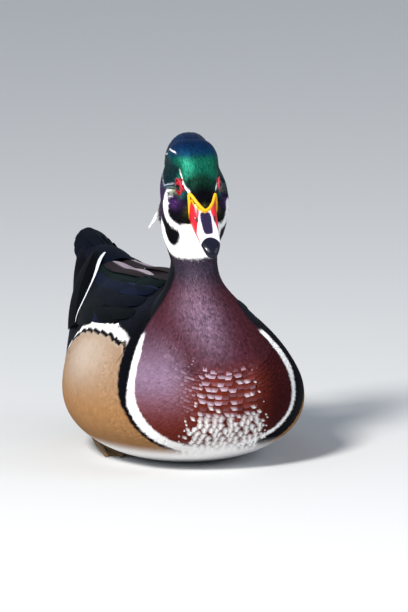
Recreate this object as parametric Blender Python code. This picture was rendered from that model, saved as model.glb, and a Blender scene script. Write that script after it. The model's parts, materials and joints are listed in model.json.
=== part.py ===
"""A life-size drake wood duck, sitting on its belly in the level pose of a bird afloat.

The bird faces -Y, its right side is -X, and the floor is Z = 0. The origin is the middle of
the flat under the belly. Numbers in the tables are millimetres: `back` is the distance behind
the foremost point of the breast, and `up` is the height above the floor. The head is drawn in
a frame of its own, level and straight, with its origin midway between the eyes, and is then
placed with its small turn and its bill held down.
"""
import math

import bmesh
import bpy
import numpy as np
from mathutils import Euler, Matrix, Vector

MM = 0.001
GAP = 0.3                     # space between nodes that touch
BREAST_TO_ORIGIN = 125.0      # from the foremost breast to the middle of the belly flat
TAIL_TIP = 331.0              # breast to the tip of the tail
EYE_BACK, EYE_UP, EYE_SIDE = 50.0, 183.0, -2.3
HEAD_PITCH, HEAD_TURN, HEAD_ROLL = math.radians(13), math.radians(-6), math.radians(1.4)
RING_POINTS = 32

# Body sections, tail end first: dorsal (back, up), ventral (back, up), half width,
# where the widest point lies from belly to back, roundness above and below it, sideways shift.
BODY_SECTIONS = [
    ((312, 113), (307, 103), 9, 0.55, 2.0, 2.0, 0.5),
    ((306, 112.5), (293, 85), 15.5, 0.55, 2.0, 2.0, 0.3),
    ((297, 111), (275, 64), 21.5, 0.52, 2.0, 2.0, 0),
    ((282, 108.5), (254, 44), 28, 0.5, 2.0, 2.0, 0),
    ((262, 105.5), (231, 25), 36.8, 0.45, 1.9, 2.0, 0),
    ((239, 104), (206, 9.5), 47.5, 0.42, 1.75, 2.0, 0),
    ((215, 103.5), (181, 1.5), 57.5, 0.39, 1.65, 2.0, 0),
    ((192, 105.5), (155, -2.5), 66.5, 0.37, 1.65, 2.1, 0),
    ((172, 107), (127, -3.5), 72, 0.36, 1.65, 2.1, 0),
    ((154, 108), (96, -3), 74, 0.36, 1.65, 2.1, 0),
    ((140, 109), (64, 1), 71.5, 0.36, 1.65, 2.1, 0),
    ((128, 110), (34, 9.5), 66.5, 0.35, 1.65, 2.1, 0),
    ((118, 111), (13, 24), 60.5, 0.35, 1.6, 2.0, 0),
    ((111, 112.5), (3.5, 40), 53, 0.36, 1.6, 2.0, 0),
    ((105, 115), (1.5, 56), 44.5, 0.36, 1.55, 2.0, -0.8),
    ((100, 118.5), (6.5, 72), 35, 0.37, 1.6, 2.0, -1.6),
    ((96, 124), (16.5, 87), 25.5, 0.40, 1.65, 2.0, -2.6),
    ((92.5, 131.5), (28, 101), 18, 0.43, 1.8, 2.0, -3.4),
    ((89.5, 140.5), (37, 114), 14.4, 0.46, 2.0, 2.0, -3.9),
    ((87, 151), (42, 127), 15.3, 0.5, 2.0, 2.0, -5.2),
    ((86, 162), (44, 138), 18.0, 0.5, 2.0, 2.0, -5.4),
]
NECK_START, NECK_END = 15, 20           # sections where the neck is parted from torso and head

# Head sections in the head's own frame: dorsal (forward, up), ventral (forward, up), then as above.
HEAD_SECTIONS = [
    ((-36, -14), (15, -37), 20.6, 0.5, 2.0, 2.0, -1.6),
    ((-39.5, -3), (14, -32.5), 21.4, 0.48, 2.2, 2.0, -0.9),
    ((-40, 9.5), (13.5, -29.5), 21.8, 0.45, 2.5, 2.0, -0.8),
    ((-34, 20), (13, -27.5), 20.8, 0.41, 2.8, 2.0, -0.8),
    ((-22, 23.8), (12.5, -26.2), 18.6, 0.40, 2.8, 2.0, -0.6),
    ((-9.5, 20.8), (12, -25.3), 16.1, 0.41, 2.5, 2.0, -0.3),
    ((-0.5, 15.2), (11.8, -24.7), 13.7, 0.42, 2.3, 2.0, 0),
    ((6, 8.6), (11.8, -24.2), 10.6, 0.42, 2.3, 2.0, 0),
    ((10.4, 3), (12.4, -23.4), 8.3, 0.42, 2.4, 2.0, 0),
    ((14.4, -3.2), (13.6, -22.5), 7.2, 0.42, 2.6, 2.0, 0),
    ((17.3, -7.8), (15.2, -21.2), 5.3, 0.42, 2.5, 2.0, 0),
    ((19.2, -11.2), (16.6, -19.5), 2.4, 0.45, 2.2, 2.0, 0),
]
TEMPLE_UP, TEMPLE_REACH, TEMPLE_DEPTH = 7.5, 7.5, 0.15   # the hollow of each side at the eye's height

# The eyeball's centre (side, forward, up), and the direction it faces from the bird's right.
EYE_CENTRE, EYE_RADIUS = (9.5, -1.3, 0.4), 6.3
EYE_FACES = (0.975, 0.21, 0.06)
LID_DISTANCE, LID_RADIUS, LID_THICKNESS = 4.6, 4.9, 0.7

# Bill sections: forward, top, bottom, half width, roundness of the top.
UPPER_BILL = [
    (2, 5.0, -18.4, 9.3, 4.4),
    (9, 2.0, -18.8, 9.1, 4.4),
    (13, -3.6, -19.4, 8.8, 3.4),
    (18.4, -9.9, -20.5, 8.5, 2.8),
    (25, -15.0, -22.0, 7.9, 2.5),
    (32, -19.0, -23.4, 7.2, 2.4),
    (38.5, -21.9, -25.0, 6.5, 2.3),
    (43, -24.3, -27.6, 5.2, 2.2),
    (45.8, -26.9, -30.4, 3.3, 2.1),
    (46.9, -29.0, -31.0, 1.4, 2.0),
]
LOWER_BILL = [
    (4, -19.0, -24.6, 7.7),
    (12, -19.6, -25.2, 7.6),
    (20, -21.2, -25.9, 7.1),
    (28, -23.0, -26.9, 6.4),
    (35, -24.5, -28.0, 5.7),
    (40, -26.2, -29.2, 4.6),
    (43.2, -28.3, -30.4, 2.6),
]
NOSTRIL_AT, NOSTRIL_SIZE = (21.5, -14.2), (2.6, 1.0, 1.0)

# Material: name, colour, roughness, metallic.
PLUMAGE_DARK = ("dark_plumage", (0.012, 0.018, 0.03), 0.45)
PLUMAGE_HEAD = ("head_plumage", (0.01, 0.06, 0.045), 0.35)
PLUMAGE_MAROON = ("maroon_plumage", (0.12, 0.018, 0.022), 0.5)
PLUMAGE_BODY = ("body_plumage", (0.45, 0.27, 0.12), 0.6)
BILL_HORN = ("bill_horn", (0.75, 0.2, 0.14), 0.35)
EYE_RED = ("eye_red", (0.6, 0.01, 0.015), 0.08)
FOOT_SKIN = ("foot_skin", (0.5, 0.33, 0.09), 0.55)


def clear_scene():
    for obj in list(bpy.data.objects):
        bpy.data.objects.remove(obj, do_unlink=True)


def material(look):
    name, colour, roughness = look
    found = bpy.data.materials.get(name) or bpy.data.materials.new(name)
    found.use_nodes = True
    shader = found.node_tree.nodes["Principled BSDF"]
    shader.inputs["Base Color"].default_value = (*colour, 1)
    shader.inputs["Roughness"].default_value = roughness
    shader.inputs["Metallic"].default_value = 0.0
    return found


def new_object(name, points, faces, look, collection):
    """A mesh object from points in millimetres."""
    mesh = bpy.data.meshes.new(name)
    mesh.from_pydata([tuple(p) for p in np.asarray(points) * MM], [], faces)
    mesh.validate()
    mesh.materials.append(material(look))
    obj = bpy.data.objects.new(name, mesh)
    collection.objects.link(obj)
    return obj


def body_point(side, back, up):
    """A point of the bird in millimetres from the origin."""
    return np.array([side, back - BREAST_TO_ORIGIN, up])


def head_matrix():
    """Carries the head's own frame (x left, y backward, z up) to the bird's."""
    turn = Euler((HEAD_PITCH, 0, HEAD_TURN), "XYZ").to_matrix() @ Euler((0, HEAD_ROLL, 0)).to_matrix()
    place = Matrix.Translation(Vector(body_point(EYE_SIDE, EYE_BACK, EYE_UP)))
    return np.array(place @ turn.to_4x4())


def head_points(points):
    """Points (left, backward, up) of the head's frame, placed on the bird."""
    points = np.asarray(points, float).reshape(-1, 3)
    carried = head_matrix()
    return points @ carried[:3, :3].T + carried[:3, 3]


def section_ring(dorsal, ventral, half_width, widest, above, below):
    """Points round one section as (side, along, up), from the ridge down the right side."""
    dorsal, ventral = np.array(dorsal, float), np.array(ventral, float)
    centre = ventral + widest * (dorsal - ventral)
    angle = 2 * np.pi * np.arange(RING_POINTS) / RING_POINTS
    cosine, sine = np.cos(angle), np.sin(angle)
    power = np.where(cosine >= 0, above, below)
    along = np.abs(cosine) ** (2 / power)
    side = -np.sign(sine) * np.abs(sine) ** (2 / power) * half_width
    reach = np.where((cosine >= 0)[:, None], dorsal - centre, ventral - centre)
    profile = centre + along[:, None] * reach
    return np.column_stack([side, profile])


def key_rings():
    rings = []
    for *shape, shift in BODY_SECTIONS:
        ring = section_ring(*shape)
        ring[:, 0] += shift
        ring[:, 1] -= BREAST_TO_ORIGIN
        rings.append(ring)
    for *shape, shift in HEAD_SECTIONS:
        ring = section_ring(*shape)
        ring[:, 0] *= 1 - TEMPLE_DEPTH * np.exp(-((ring[:, 2] - TEMPLE_UP) / TEMPLE_REACH) ** 2)
        ring[:, 0] += shift
        ring[:, 1] *= -1                       # forward in the table, backward in the frame
        rings.append(head_points(ring))
    return np.array(rings)


KEYS = key_rings()
LAST = len(KEYS) - 1


def ring_at(place):
    """The ring at a fractional section number, on smooth curves through the key rings."""
    place = min(max(place, 0.0), float(LAST))
    i = min(int(place), LAST - 1)
    t = place - i
    a, b = KEYS[max(i - 1, 0)], KEYS[i]
    c, d = KEYS[i + 1], KEYS[min(i + 2, LAST)]
    ring = 0.5 * (2 * b + (c - a) * t + (2 * a - 5 * b + 4 * c - d) * t**2 + (3 * b - a - 3 * c + d) * t**3)
    if place < NECK_END:
        ring[:, 2] = np.maximum(ring[:, 2], 0)  # the flat that the bird rests on
    return ring


def grid_normals(rings):
    """Outward normals of a grid of rings that closes round each ring."""
    along = np.gradient(rings, axis=0)
    around = (np.roll(rings, -1, axis=1) - np.roll(rings, 1, axis=1)) / 2
    normals = np.cross(around, along)
    return normals / np.maximum(np.linalg.norm(normals, axis=2, keepdims=True), 1e-9)


def lofted(name, rings, look, collection):
    """A closed solid through rings, with its ends capped."""
    count, around = rings.shape[:2]
    points = rings.reshape(-1, 3)
    faces = []
    for i in range(count - 1):
        for j in range(around):
            k = (j + 1) % around
            a, b = i * around + j, i * around + k
            c, d = a + around, b + around
            faces += [(a, b, d), (a, d, c)]
    centre_first, centre_last = len(points), len(points) + 1
    points = np.vstack([points, rings[0].mean(0), rings[-1].mean(0)])
    for j in range(around):
        k = (j + 1) % around
        faces.append((centre_first, k, j))
        faces.append((centre_last, (count - 1) * around + j, (count - 1) * around + k))
    obj = new_object(name, points, faces, look, collection)
    face_outwards(obj)
    return obj


def face_outwards(obj):
    mesh = bmesh.new()
    mesh.from_mesh(obj.data)
    bmesh.ops.remove_doubles(mesh, verts=mesh.verts, dist=1e-6)
    bmesh.ops.triangulate(mesh, faces=mesh.faces)
    bmesh.ops.recalc_face_normals(mesh, faces=mesh.faces)
    if mesh.calc_volume(signed=True) < 0:
        bmesh.ops.reverse_faces(mesh, faces=mesh.faces)
    mesh.to_mesh(obj.data)
    mesh.free()


def keep_largest(obj):
    """Drops every closed surface of a mesh but the one that holds the most."""
    mesh = bmesh.new()
    mesh.from_mesh(obj.data)
    mesh.verts.ensure_lookup_table()
    seen, islands = set(), []
    for vert in mesh.verts:
        if vert.index in seen:
            continue
        stack, island = [vert], []
        seen.add(vert.index)
        while stack:
            at = stack.pop()
            island.append(at)
            for edge in at.link_edges:
                other = edge.other_vert(at)
                if other.index not in seen:
                    seen.add(other.index)
                    stack.append(other)
        islands.append(island)
    islands.sort(key=box_volume, reverse=True)
    for island in islands[1:]:
        bmesh.ops.delete(mesh, geom=island, context="VERTS")
    mesh.to_mesh(obj.data)
    mesh.free()


def box_volume(verts):
    points = np.array([v.co for v in verts])
    return float(np.prod(points.max(0) - points.min(0)))


def apply_boolean(obj, operation, others, solver="EXACT"):
    """Joins or cuts an object with closed meshes, applies it, and removes them."""
    helpers = bpy.data.collections.new("helpers")
    for other in others:
        for held_by in list(other.users_collection):
            held_by.objects.unlink(other)
        helpers.objects.link(other)
    modifier = obj.modifiers.new("join_or_cut", "BOOLEAN")
    modifier.operation = operation
    modifier.solver = solver
    modifier.operand_type = "COLLECTION"
    modifier.collection = helpers
    graph = bpy.context.evaluated_depsgraph_get()
    finished = bpy.data.meshes.new_from_object(obj.evaluated_get(graph))
    obj.modifiers.remove(modifier)
    obj.data = finished
    for other in others:
        bpy.data.objects.remove(other, do_unlink=True)
    bpy.data.collections.remove(helpers)
    tidy_edges(obj)
    keep_largest(obj)


def tidy_edges(obj, nearest=4e-7):
    """Merges the near doubles that a Boolean leaves, and splits its faces into triangles."""
    mesh = bmesh.new()
    mesh.from_mesh(obj.data)
    bmesh.ops.remove_doubles(mesh, verts=mesh.verts, dist=nearest)
    bmesh.ops.dissolve_degenerate(mesh, edges=mesh.edges, dist=nearest)
    bmesh.ops.triangulate(mesh, faces=mesh.faces)
    mesh.to_mesh(obj.data)
    mesh.free()


def strip_solid(name, centres, acrosses, outs, widths, thicknesses, look, collection):
    """A flat tapering vane or lock along a path: four corners at each station."""
    points, faces = [], []
    for centre, across, out, width, thick in zip(centres, acrosses, outs, widths, thicknesses):
        for side, lift in ((-1, 1), (1, 1), (1, -1), (-1, -1)):
            points.append(centre + across * side * width / 2 + out * lift * thick / 2)
    for i in range(len(centres) - 1):
        a = 4 * i
        b = a + 4
        faces += [(a, b, b + 1), (a, b + 1, a + 1)]              # upper face
        faces += [(a + 3, b + 2, b + 3), (a + 3, a + 2, b + 2)]  # lower face, split the same way
        faces += [(a + 1, b + 1, b + 2), (a + 1, b + 2, a + 2)]
        faces += [(a, a + 3, b + 3), (a, b + 3, b)]
    end = 4 * (len(centres) - 1)
    faces += [(0, 1, 2), (0, 2, 3), (end, end + 2, end + 1), (end, end + 3, end + 2)]
    obj = new_object(name, points, faces, look, collection)
    face_outwards(obj)
    return obj


def unit(vector):
    vector = np.asarray(vector, float)
    return vector / max(np.linalg.norm(vector), 1e-9)


def bezier(points, count):
    t = np.linspace(0, 1, count)[:, None]
    a, b, c, d = (np.asarray(p, float) for p in points)
    return a * (1 - t) ** 3 + 3 * b * t * (1 - t) ** 2 + 3 * c * t**2 * (1 - t) + d * t**3


def path_frames(path, out_hint):
    """Across and outward directions at each point of a path, from a rough outward direction."""
    along = np.gradient(path, axis=0)
    acrosses, outs = [], []
    for step, hint in zip(along, np.broadcast_to(out_hint, path.shape)):
        across = unit(np.cross(unit(step), hint))
        acrosses.append(across)
        outs.append(unit(np.cross(across, unit(step))))
    return acrosses, outs


def vane_widths(count, width, root_share=0.6, tip_share=0.3):
    """A feather's widths: narrow root, full middle and a rounded tip."""
    t = np.linspace(0, 1, count)
    swell = root_share + (1 - root_share) * np.sin(np.minimum(t / 0.45, 1) * np.pi / 2)
    fall = np.clip((t - 0.72) / 0.28, 0, 1)
    return width * swell * (1 - (1 - tip_share) * fall**2)


def surface_point(place, turn, lift):
    """A point over the skin: section number, share of a turn from the ridge down the right side
    (negative on the left), and height over the skin. Also the outward direction there."""
    step = 0.02
    rings = np.array([ring_at(place - step), ring_at(place), ring_at(place + step)])
    normals = grid_normals(rings)[1]
    position = (turn % 1.0) * RING_POINTS
    j = int(position) % RING_POINTS
    k, share = (j + 1) % RING_POINTS, position - int(position)
    point = rings[1][j] * (1 - share) + rings[1][k] * share
    normal = unit(normals[j] * (1 - share) + normals[k] * share)
    return point + normal * lift, normal


def surface_vane(name, route, width, thick, look, collection, stations=6, **shape):
    """A vane that lies along the skin. The route is (section, turn, lift) points, joined smoothly."""
    route = np.array(route, float)
    t = np.linspace(0, len(route) - 1, stations)
    rows = np.array([[np.interp(x, range(len(route)), route[:, c]) for c in range(3)] for x in t])
    found = [surface_point(*row) for row in rows]
    centres = np.array([point for point, _ in found])
    acrosses, outs = path_frames(centres, np.array([normal for _, normal in found]))
    widths = vane_widths(stations, width, **shape)
    return strip_solid(name, centres, acrosses, outs, widths, np.full(stations, thick), look, collection)


def skin_shell(name, places, columns, thickness, look, collection):
    """A closed pad that lies over part of the skin on the skin's own grid, GAP above it."""
    rings = np.array([ring_at(p) for p in places])
    normals = grid_normals(rings)
    rows, count = len(places), len(columns)
    inner, outer = [], []
    for i in range(rows):
        for j, column in enumerate(columns):
            point, normal = rings[i][column % RING_POINTS], normals[i][column % RING_POINTS]
            inner.append(point + normal * (GAP + 0.1))
            outer.append(point + normal * (GAP + 0.1 + thickness(i / (rows - 1), j / (count - 1))))
    points = np.array(inner + outer)
    shift = rows * count
    faces = []
    for i in range(rows - 1):
        for j in range(count - 1):
            a, b = i * count + j, i * count + j + 1
            c, d = a + count, b + count
            faces += [(a, b, d), (a, d, c)]
            faces += [(a + shift, d + shift, b + shift), (a + shift, c + shift, d + shift)]
    edge = [(0, j) for j in range(count)] + [(i, count - 1) for i in range(1, rows)]
    edge += [(rows - 1, j) for j in range(count - 2, -1, -1)] + [(i, 0) for i in range(rows - 2, 0, -1)]
    loop = [i * count + j for i, j in edge]
    for a, b in zip(loop, loop[1:] + loop[:1]):
        faces += [(a, b, b + shift), (a, b + shift, a + shift)]
    obj = new_object(name, points, faces, look, collection)
    face_outwards(obj)
    return obj


TORSO_PLACES = np.linspace(0, NECK_START, 31)
NECK_PLACES = np.linspace(NECK_START, NECK_END, 10)
HEAD_PLACES = np.linspace(NECK_END, LAST, 25)
FLANK_PLUMES = 9


def cap_normal(ring, inner_ring):
    """The direction square to an end ring, away from the ring before it."""
    spokes = ring - ring.mean(0)
    normal = unit(np.cross(spokes, np.roll(spokes, -1, axis=0)).sum(0))
    return normal * (1 if normal @ (ring.mean(0) - inner_ring.mean(0)) > 0 else -1)


def grown_body(lift, scratch):
    """The whole body, neck and head a little larger, as a cutter that leaves a gap."""
    places = np.concatenate([TORSO_PLACES, NECK_PLACES[1:-1], HEAD_PLACES])
    rings = np.array([ring_at(p) for p in places])
    grown = rings + grid_normals(rings) * lift
    grown[0] += cap_normal(rings[0], rings[1]) * lift * 1.3
    grown[-1] += cap_normal(rings[-1], rings[-2]) * lift * 1.3
    return lofted("grown_body", grown, PLUMAGE_DARK, scratch)


def make_torso(parts, scratch):
    rings = np.array([ring_at(p) for p in TORSO_PLACES])
    rings[-1] -= neck_step(NECK_START) * GAP / 2
    torso = lofted("torso", rings, PLUMAGE_BODY, parts)
    apply_boolean(torso, "UNION", flank_plumes(scratch), "MANIFOLD")
    return torso


def neck_step(place):
    """The direction from one section towards the next at a cut."""
    return unit((ring_at(min(place + 0.3, LAST)) - ring_at(place - 0.3)).mean(0))


def flank_plumes(scratch):
    """The tier of broad black-and-white plumes along the top of each flank, below the wing's edge."""
    plumes = []
    for side in (1, -1):
        for n in range(FLANK_PLUMES):
            share = n / (FLANK_PLUMES - 1)
            tip = 11.9 - 4.9 * share
            turn = 0.152 - 0.010 * math.sin(share * math.pi) + 0.010 * share
            route = [(tip + 1.3, side * (turn + 0.052), -0.8), (tip + 0.8, side * (turn + 0.030), 1.3),
                     (tip + 0.4, side * (turn + 0.012), 2.0), (tip, side * turn, 1.9)]
            plumes.append(surface_vane("plume", route, 15.0, 0.7, PLUMAGE_BODY, scratch, 5, tip_share=0.45))
    return plumes


def make_neck(parts):
    rings = np.array([ring_at(p) for p in NECK_PLACES])
    rings[0] += neck_step(NECK_START) * GAP / 2
    rings[-1] -= neck_step(NECK_END) * GAP / 2
    return lofted("neck", rings, PLUMAGE_MAROON, parts)


def ball(name, centre, radius, look, collection, scale=(1, 1, 1), segments=16):
    """A sphere in the head's frame, scaled along (left, backward, up)."""
    mesh = bmesh.new()
    bmesh.ops.create_uvsphere(mesh, u_segments=segments, v_segments=segments * 3 // 4, radius=radius * MM)
    points = np.array([v.co for v in mesh.verts]) / MM * scale + np.array(centre, float)
    for vert, point in zip(mesh.verts, head_points(points) * MM):
        vert.co = point
    data = bpy.data.meshes.new(name)
    mesh.to_mesh(data)
    mesh.free()
    data.materials.append(material(look))
    obj = bpy.data.objects.new(name, data)
    collection.objects.link(obj)
    face_outwards(obj)
    return obj


def eye_axes(side):
    """The eye's outward, backward and upward directions in the head's frame."""
    outward = unit([side * EYE_FACES[0], -EYE_FACES[1], EYE_FACES[2]])
    backward = unit(np.cross(outward, [0, 0, 1.0]) * -side)
    upward = np.cross(outward, backward) * side
    if upward[2] < 0:
        upward = -upward
    return outward, backward, upward


def eye_centre(side):
    return np.array([side * EYE_CENTRE[0], -EYE_CENTRE[1], EYE_CENTRE[2]])


def lid_ring(side, scratch, around=14, tube_points=5):
    """The fleshy rim of the eyelids, a little pointed at the top and foot of the eye."""
    outward, backward, upward = eye_axes(side)
    centre = eye_centre(side) + outward * LID_DISTANCE
    points, faces = [], []
    for i in range(around):
        a = 2 * math.pi * i / around
        stretch = 1 + 0.1 * math.cos(a) ** 6
        spoke = backward * math.sin(a) * 0.95 + upward * math.cos(a) * 1.05 * stretch
        for j in range(tube_points):
            b = 2 * math.pi * j / tube_points
            points.append(centre + spoke * (LID_RADIUS + LID_THICKNESS * math.cos(b))
                          + outward * LID_THICKNESS * 1.5 * math.sin(b))
    for i in range(around):
        for j in range(tube_points):
            a, b = i * tube_points + j, i * tube_points + (j + 1) % tube_points
            k = (i + 1) % around * tube_points
            c, d = k + j, k + (j + 1) % tube_points
            faces += [(a, b, d), (a, d, c)]
    obj = new_object("lid", head_points(points), faces, EYE_RED, scratch)
    face_outwards(obj)
    return obj


def orbit(side, scratch):
    """A shallow dish round the eye, a cutter for the cheek that would cover the lids."""
    outward, backward, upward = eye_axes(side)
    mesh = bmesh.new()
    bmesh.ops.create_uvsphere(mesh, u_segments=12, v_segments=6, radius=1)
    centre = eye_centre(side) + outward * (LID_DISTANCE + 3.0)
    points = [centre + backward * v.co.x * 9 + upward * v.co.y * 9 + outward * v.co.z * 3.2 for v in mesh.verts]
    faces = [tuple(v.index for v in f.verts) for f in mesh.faces]
    mesh.free()
    obj = new_object("orbit", head_points(points), faces, EYE_RED, scratch)
    face_outwards(obj)
    return obj


def make_head(parts, scratch):
    rings = np.array([ring_at(p) for p in HEAD_PLACES])
    rings[0] += neck_step(NECK_END) * GAP / 2
    head = lofted("head", rings, PLUMAGE_HEAD, parts)
    apply_boolean(head, "DIFFERENCE", [orbit(side, scratch) for side in (1, -1)])
    apply_boolean(head, "UNION", [lid_ring(side, scratch) for side in (1, -1)])
    sockets = [ball("socket", eye_centre(side), EYE_RADIUS + GAP + 0.1, EYE_RED, scratch, segments=12)
               for side in (1, -1)]
    apply_boolean(head, "DIFFERENCE", sockets)
    return head


def make_eyes(parts):
    for name, side in (("eye_left", 1), ("eye_right", -1)):
        ball(name, eye_centre(side), EYE_RADIUS, EYE_RED, parts)


def bill_rings(table, upper):
    """Rings of one half of the bill in the head's frame."""
    rings = []
    for row in table:
        forward, top, bottom, half_width = row[:4]
        if upper:
            shape = ((0, top), (0, bottom), half_width, 0.22, row[4], 5.0)
        else:
            shape = ((0, top), (0, bottom), half_width, 0.8, 5.0, 2.2)
        ring = section_ring(*shape)[::2]
        ring[:, 1] = -forward
        rings.append(head_points(ring))
    return np.array(rings)


def smooth_table(table, steps):
    table = np.array(table, float)
    t = np.linspace(0, len(table) - 1, steps)
    rows = []
    for x in t:
        i = min(int(x), len(table) - 2)
        f = x - i
        a, b = table[max(i - 1, 0)], table[i]
        c, d = table[i + 1], table[min(i + 2, len(table) - 1)]
        rows.append(0.5 * (2 * b + (c - a) * f + (2 * a - 5 * b + 4 * c - d) * f**2
                           + (3 * b - a - 3 * c + d) * f**3))
    return rows


def make_bill(parts, scratch):
    upper = lofted("bill_upper", bill_rings(smooth_table(UPPER_BILL, 15), True), BILL_HORN, parts)
    lower = lofted("bill_lower", bill_rings(smooth_table(LOWER_BILL, 10), False), BILL_HORN, parts)
    for half in (upper, lower):
        apply_boolean(half, "DIFFERENCE", [grown_body(GAP, scratch)])
    forward, up = NOSTRIL_AT
    nostrils = [ball("nostril", (side * 6.6, -forward, up), 1, BILL_HORN, scratch,
                     (NOSTRIL_SIZE[1], NOSTRIL_SIZE[0], NOSTRIL_SIZE[2]), 10) for side in (1, -1)]
    apply_boolean(upper, "DIFFERENCE", nostrils)
    return upper, lower


CREST_OUTER = ((-22, 23.9), (-52, 28.4), (-71, 4), (-71, -48))
CREST_INNER = ((-30, -12), (-40, -20), (-54, -28), (-69.5, -53))
CREST_HALF_WIDTH = (13.0, 15.5, 11.5, 6.2, 2.0)
CREST_SWING = -17.0
CREST_LOCKS = ((0.0, 0.0), (0.16, -1), (0.16, 1), (0.42, -1), (0.42, 1), (0.68, -1), (0.68, 1), (0.92, 0.0))


def crest_side(t, across):
    """Sideways place in the crest at a share of its length, -1 to 1 from its right to its left."""
    half = np.interp(t, np.linspace(0, 1, len(CREST_HALF_WIDTH)), CREST_HALF_WIDTH)
    return across * half + CREST_SWING * t**4


def crest_core(scratch, stations=8, around=10):
    """The full middle of the crest, which the long locks lie on."""
    outer, inner = bezier(CREST_OUTER, stations), bezier(CREST_INNER, stations)
    rings = []
    for i, t in enumerate(np.linspace(0, 0.86, stations)):
        angle = 2 * np.pi * np.arange(around) / around
        middle, reach = (outer[i] + inner[i]) / 2, (outer[i] - inner[i]) / 2 * 0.86
        profile = middle + np.cos(angle)[:, None] * reach
        left = crest_side(t, np.sin(angle) * 0.8)
        rings.append(head_points(np.column_stack([left, -profile[:, 0], profile[:, 1]])))
    return lofted("crest", np.array(rings), PLUMAGE_HEAD, scratch)


def crest_locks(scratch):
    """Long flat locks that sweep back from the crown and hang behind the nape."""
    locks = []
    for share, place in CREST_LOCKS:
        route = [(1 - share) * np.array(a) + share * np.array(b) for a, b in zip(CREST_OUTER, CREST_INNER)]
        path = bezier(route, 6)
        t = np.linspace(0, 1, 6)
        bow = math.sin(math.pi * (0.12 + 0.76 * share))
        left = crest_side(t, place * bow)
        points = np.column_stack([left, -path[:, 0], path[:, 1]])
        placed = head_points(points)
        upward = np.array([place * bow * 1.2, 0.5 * (1 - share), 1.0 - 1.6 * share])
        hint = head_points([upward])[0] - head_points([[0, 0, 0]])[0]
        acrosses, outs = path_frames(placed, hint)
        widths = 11.0 * np.interp(t, [0, 0.3, 0.7, 1], [0.8, 1, 0.7, 0.14])
        thick = np.interp(t, [0, 0.4, 1], [2.0, 1.8, 0.7])
        locks.append(strip_solid("lock", placed, acrosses, outs, widths, thick, PLUMAGE_HEAD, scratch))
    return locks


def make_crest(parts, scratch):
    def pad(i, j):
        return 0.8 + 2.0 * math.sin(math.pi * min(i * 1.1, 1)) ** 0.7 * math.sin(math.pi * j) ** 0.6

    crest = skin_shell("crest", HEAD_PLACES[4:14], list(range(-5, 6)), pad, PLUMAGE_HEAD, parts)
    apply_boolean(crest, "UNION", [crest_core(scratch)] + crest_locks(scratch), "MANIFOLD")
    apply_boolean(crest, "DIFFERENCE", [grown_body(GAP, scratch)], "MANIFOLD")
    return crest


WING_PLACES = TORSO_PLACES[9:28]                # rump side to shoulder
WING_COLUMNS = range(1, 5)


def wing_pad(i, j):
    """Thickness of the folded wing under its feathers: full in the middle, thin at the flank."""
    return 1.0 + 3.6 * math.sin(math.pi * min(max(i, 0.02), 0.98)) ** 0.6 * (1 - 0.8 * j) ** 0.7


def wing_feathers(side, scratch):
    """Scapulars, tertials, speculum and primaries of one wing, in tiers from the back down."""
    vanes = []
    for n in range(5):
        share = n / 4
        route = [(12.2 - 0.5 * n, side * (0.040 + 0.019 * n), 2.4),
                 (10.6 - 0.5 * n, side * (0.036 + 0.018 * n), 5.0 - 0.5 * n),
                 (8.7 - 0.4 * n, side * (0.030 + 0.017 * n), 5.0 - 0.5 * n)]
        vanes.append(surface_vane("scapular", route, 16 - 2 * share, 0.9, PLUMAGE_DARK, scratch, 6))
    for n in range(4):
        route = [(8.8 - 0.2 * n, side * (0.040 + 0.024 * n), 2.4),
                 (7.0 - 0.1 * n, side * (0.038 + 0.025 * n), 4.0 - 0.4 * n),
                 (4.8 + 0.12 * n, side * (0.036 + 0.028 * n), 4.0 - 0.4 * n)]
        vanes.append(surface_vane("tertial", route, 17, 0.9, PLUMAGE_DARK, scratch, 6))
    for n in range(5):
        route = [(9.6 - 0.6 * n, side * 0.112, 1.2),
                 (8.6 - 0.6 * n, side * 0.111, 2.8 - 0.1 * n),
                 (7.4 - 0.6 * n, side * 0.108, 3.0 - 0.1 * n)]
        vanes.append(surface_vane("speculum", route, 11, 0.8, PLUMAGE_DARK, scratch, 5))
    return vanes + primaries(side, scratch)


PRIMARY_ROOT, PRIMARY_TIP = (-43.0, 200.0, 74.0), (-5.0, 267.0, 112.5)
PRIMARY_COUNT, PRIMARY_STEP = 5, 0.1


def primaries(side, scratch):
    """The long wing tip, which leaves the flank low and rises over the rump towards the other."""
    root, tip = np.array(PRIMARY_ROOT), np.array(PRIMARY_TIP)
    bulge = np.array([-5.5, 4, 2.2])
    longest = bezier([root, root * 0.75 + tip * 0.25 + bulge * 0.5, root * 0.35 + tip * 0.65 + bulge, tip], 25)
    longest[:, 1] -= BREAST_TO_ORIGIN
    longest[:, 0] *= side
    lifted = np.array([-0.75 * side, 0.0, 0.66])
    vanes = []
    for n in range(PRIMARY_COUNT):
        start, end = -0.02 * n, 1 - PRIMARY_STEP * n
        t = np.clip(np.linspace(start, end, 6), 0, 1) * 24
        path = np.column_stack([np.interp(t, range(25), longest[:, c]) for c in range(3)])
        if n:
            path[0] = path[1] + (path[1] - path[2]) * 0.8
        acrosses, outs = path_frames(path, lifted)
        path = path + np.array(outs) * (1.15 * n) - np.array(acrosses) * side * 0.9 * n
        widths = vane_widths(6, 9.5, 0.75, 0.22)
        vanes.append(strip_solid("primary", path, acrosses, outs, widths, np.full(6, 0.7),
                                 PLUMAGE_DARK, scratch))
    return vanes


def make_wings(parts, scratch):
    for name, side in (("wing_right", 1), ("wing_left", -1)):
        columns = [side * c for c in WING_COLUMNS]
        wing = skin_shell(name, WING_PLACES, columns, wing_pad, PLUMAGE_DARK, parts)
        apply_boolean(wing, "UNION", wing_feathers(side, scratch), "MANIFOLD")
        apply_boolean(wing, "DIFFERENCE", [grown_body(GAP, scratch)], "MANIFOLD")


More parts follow.
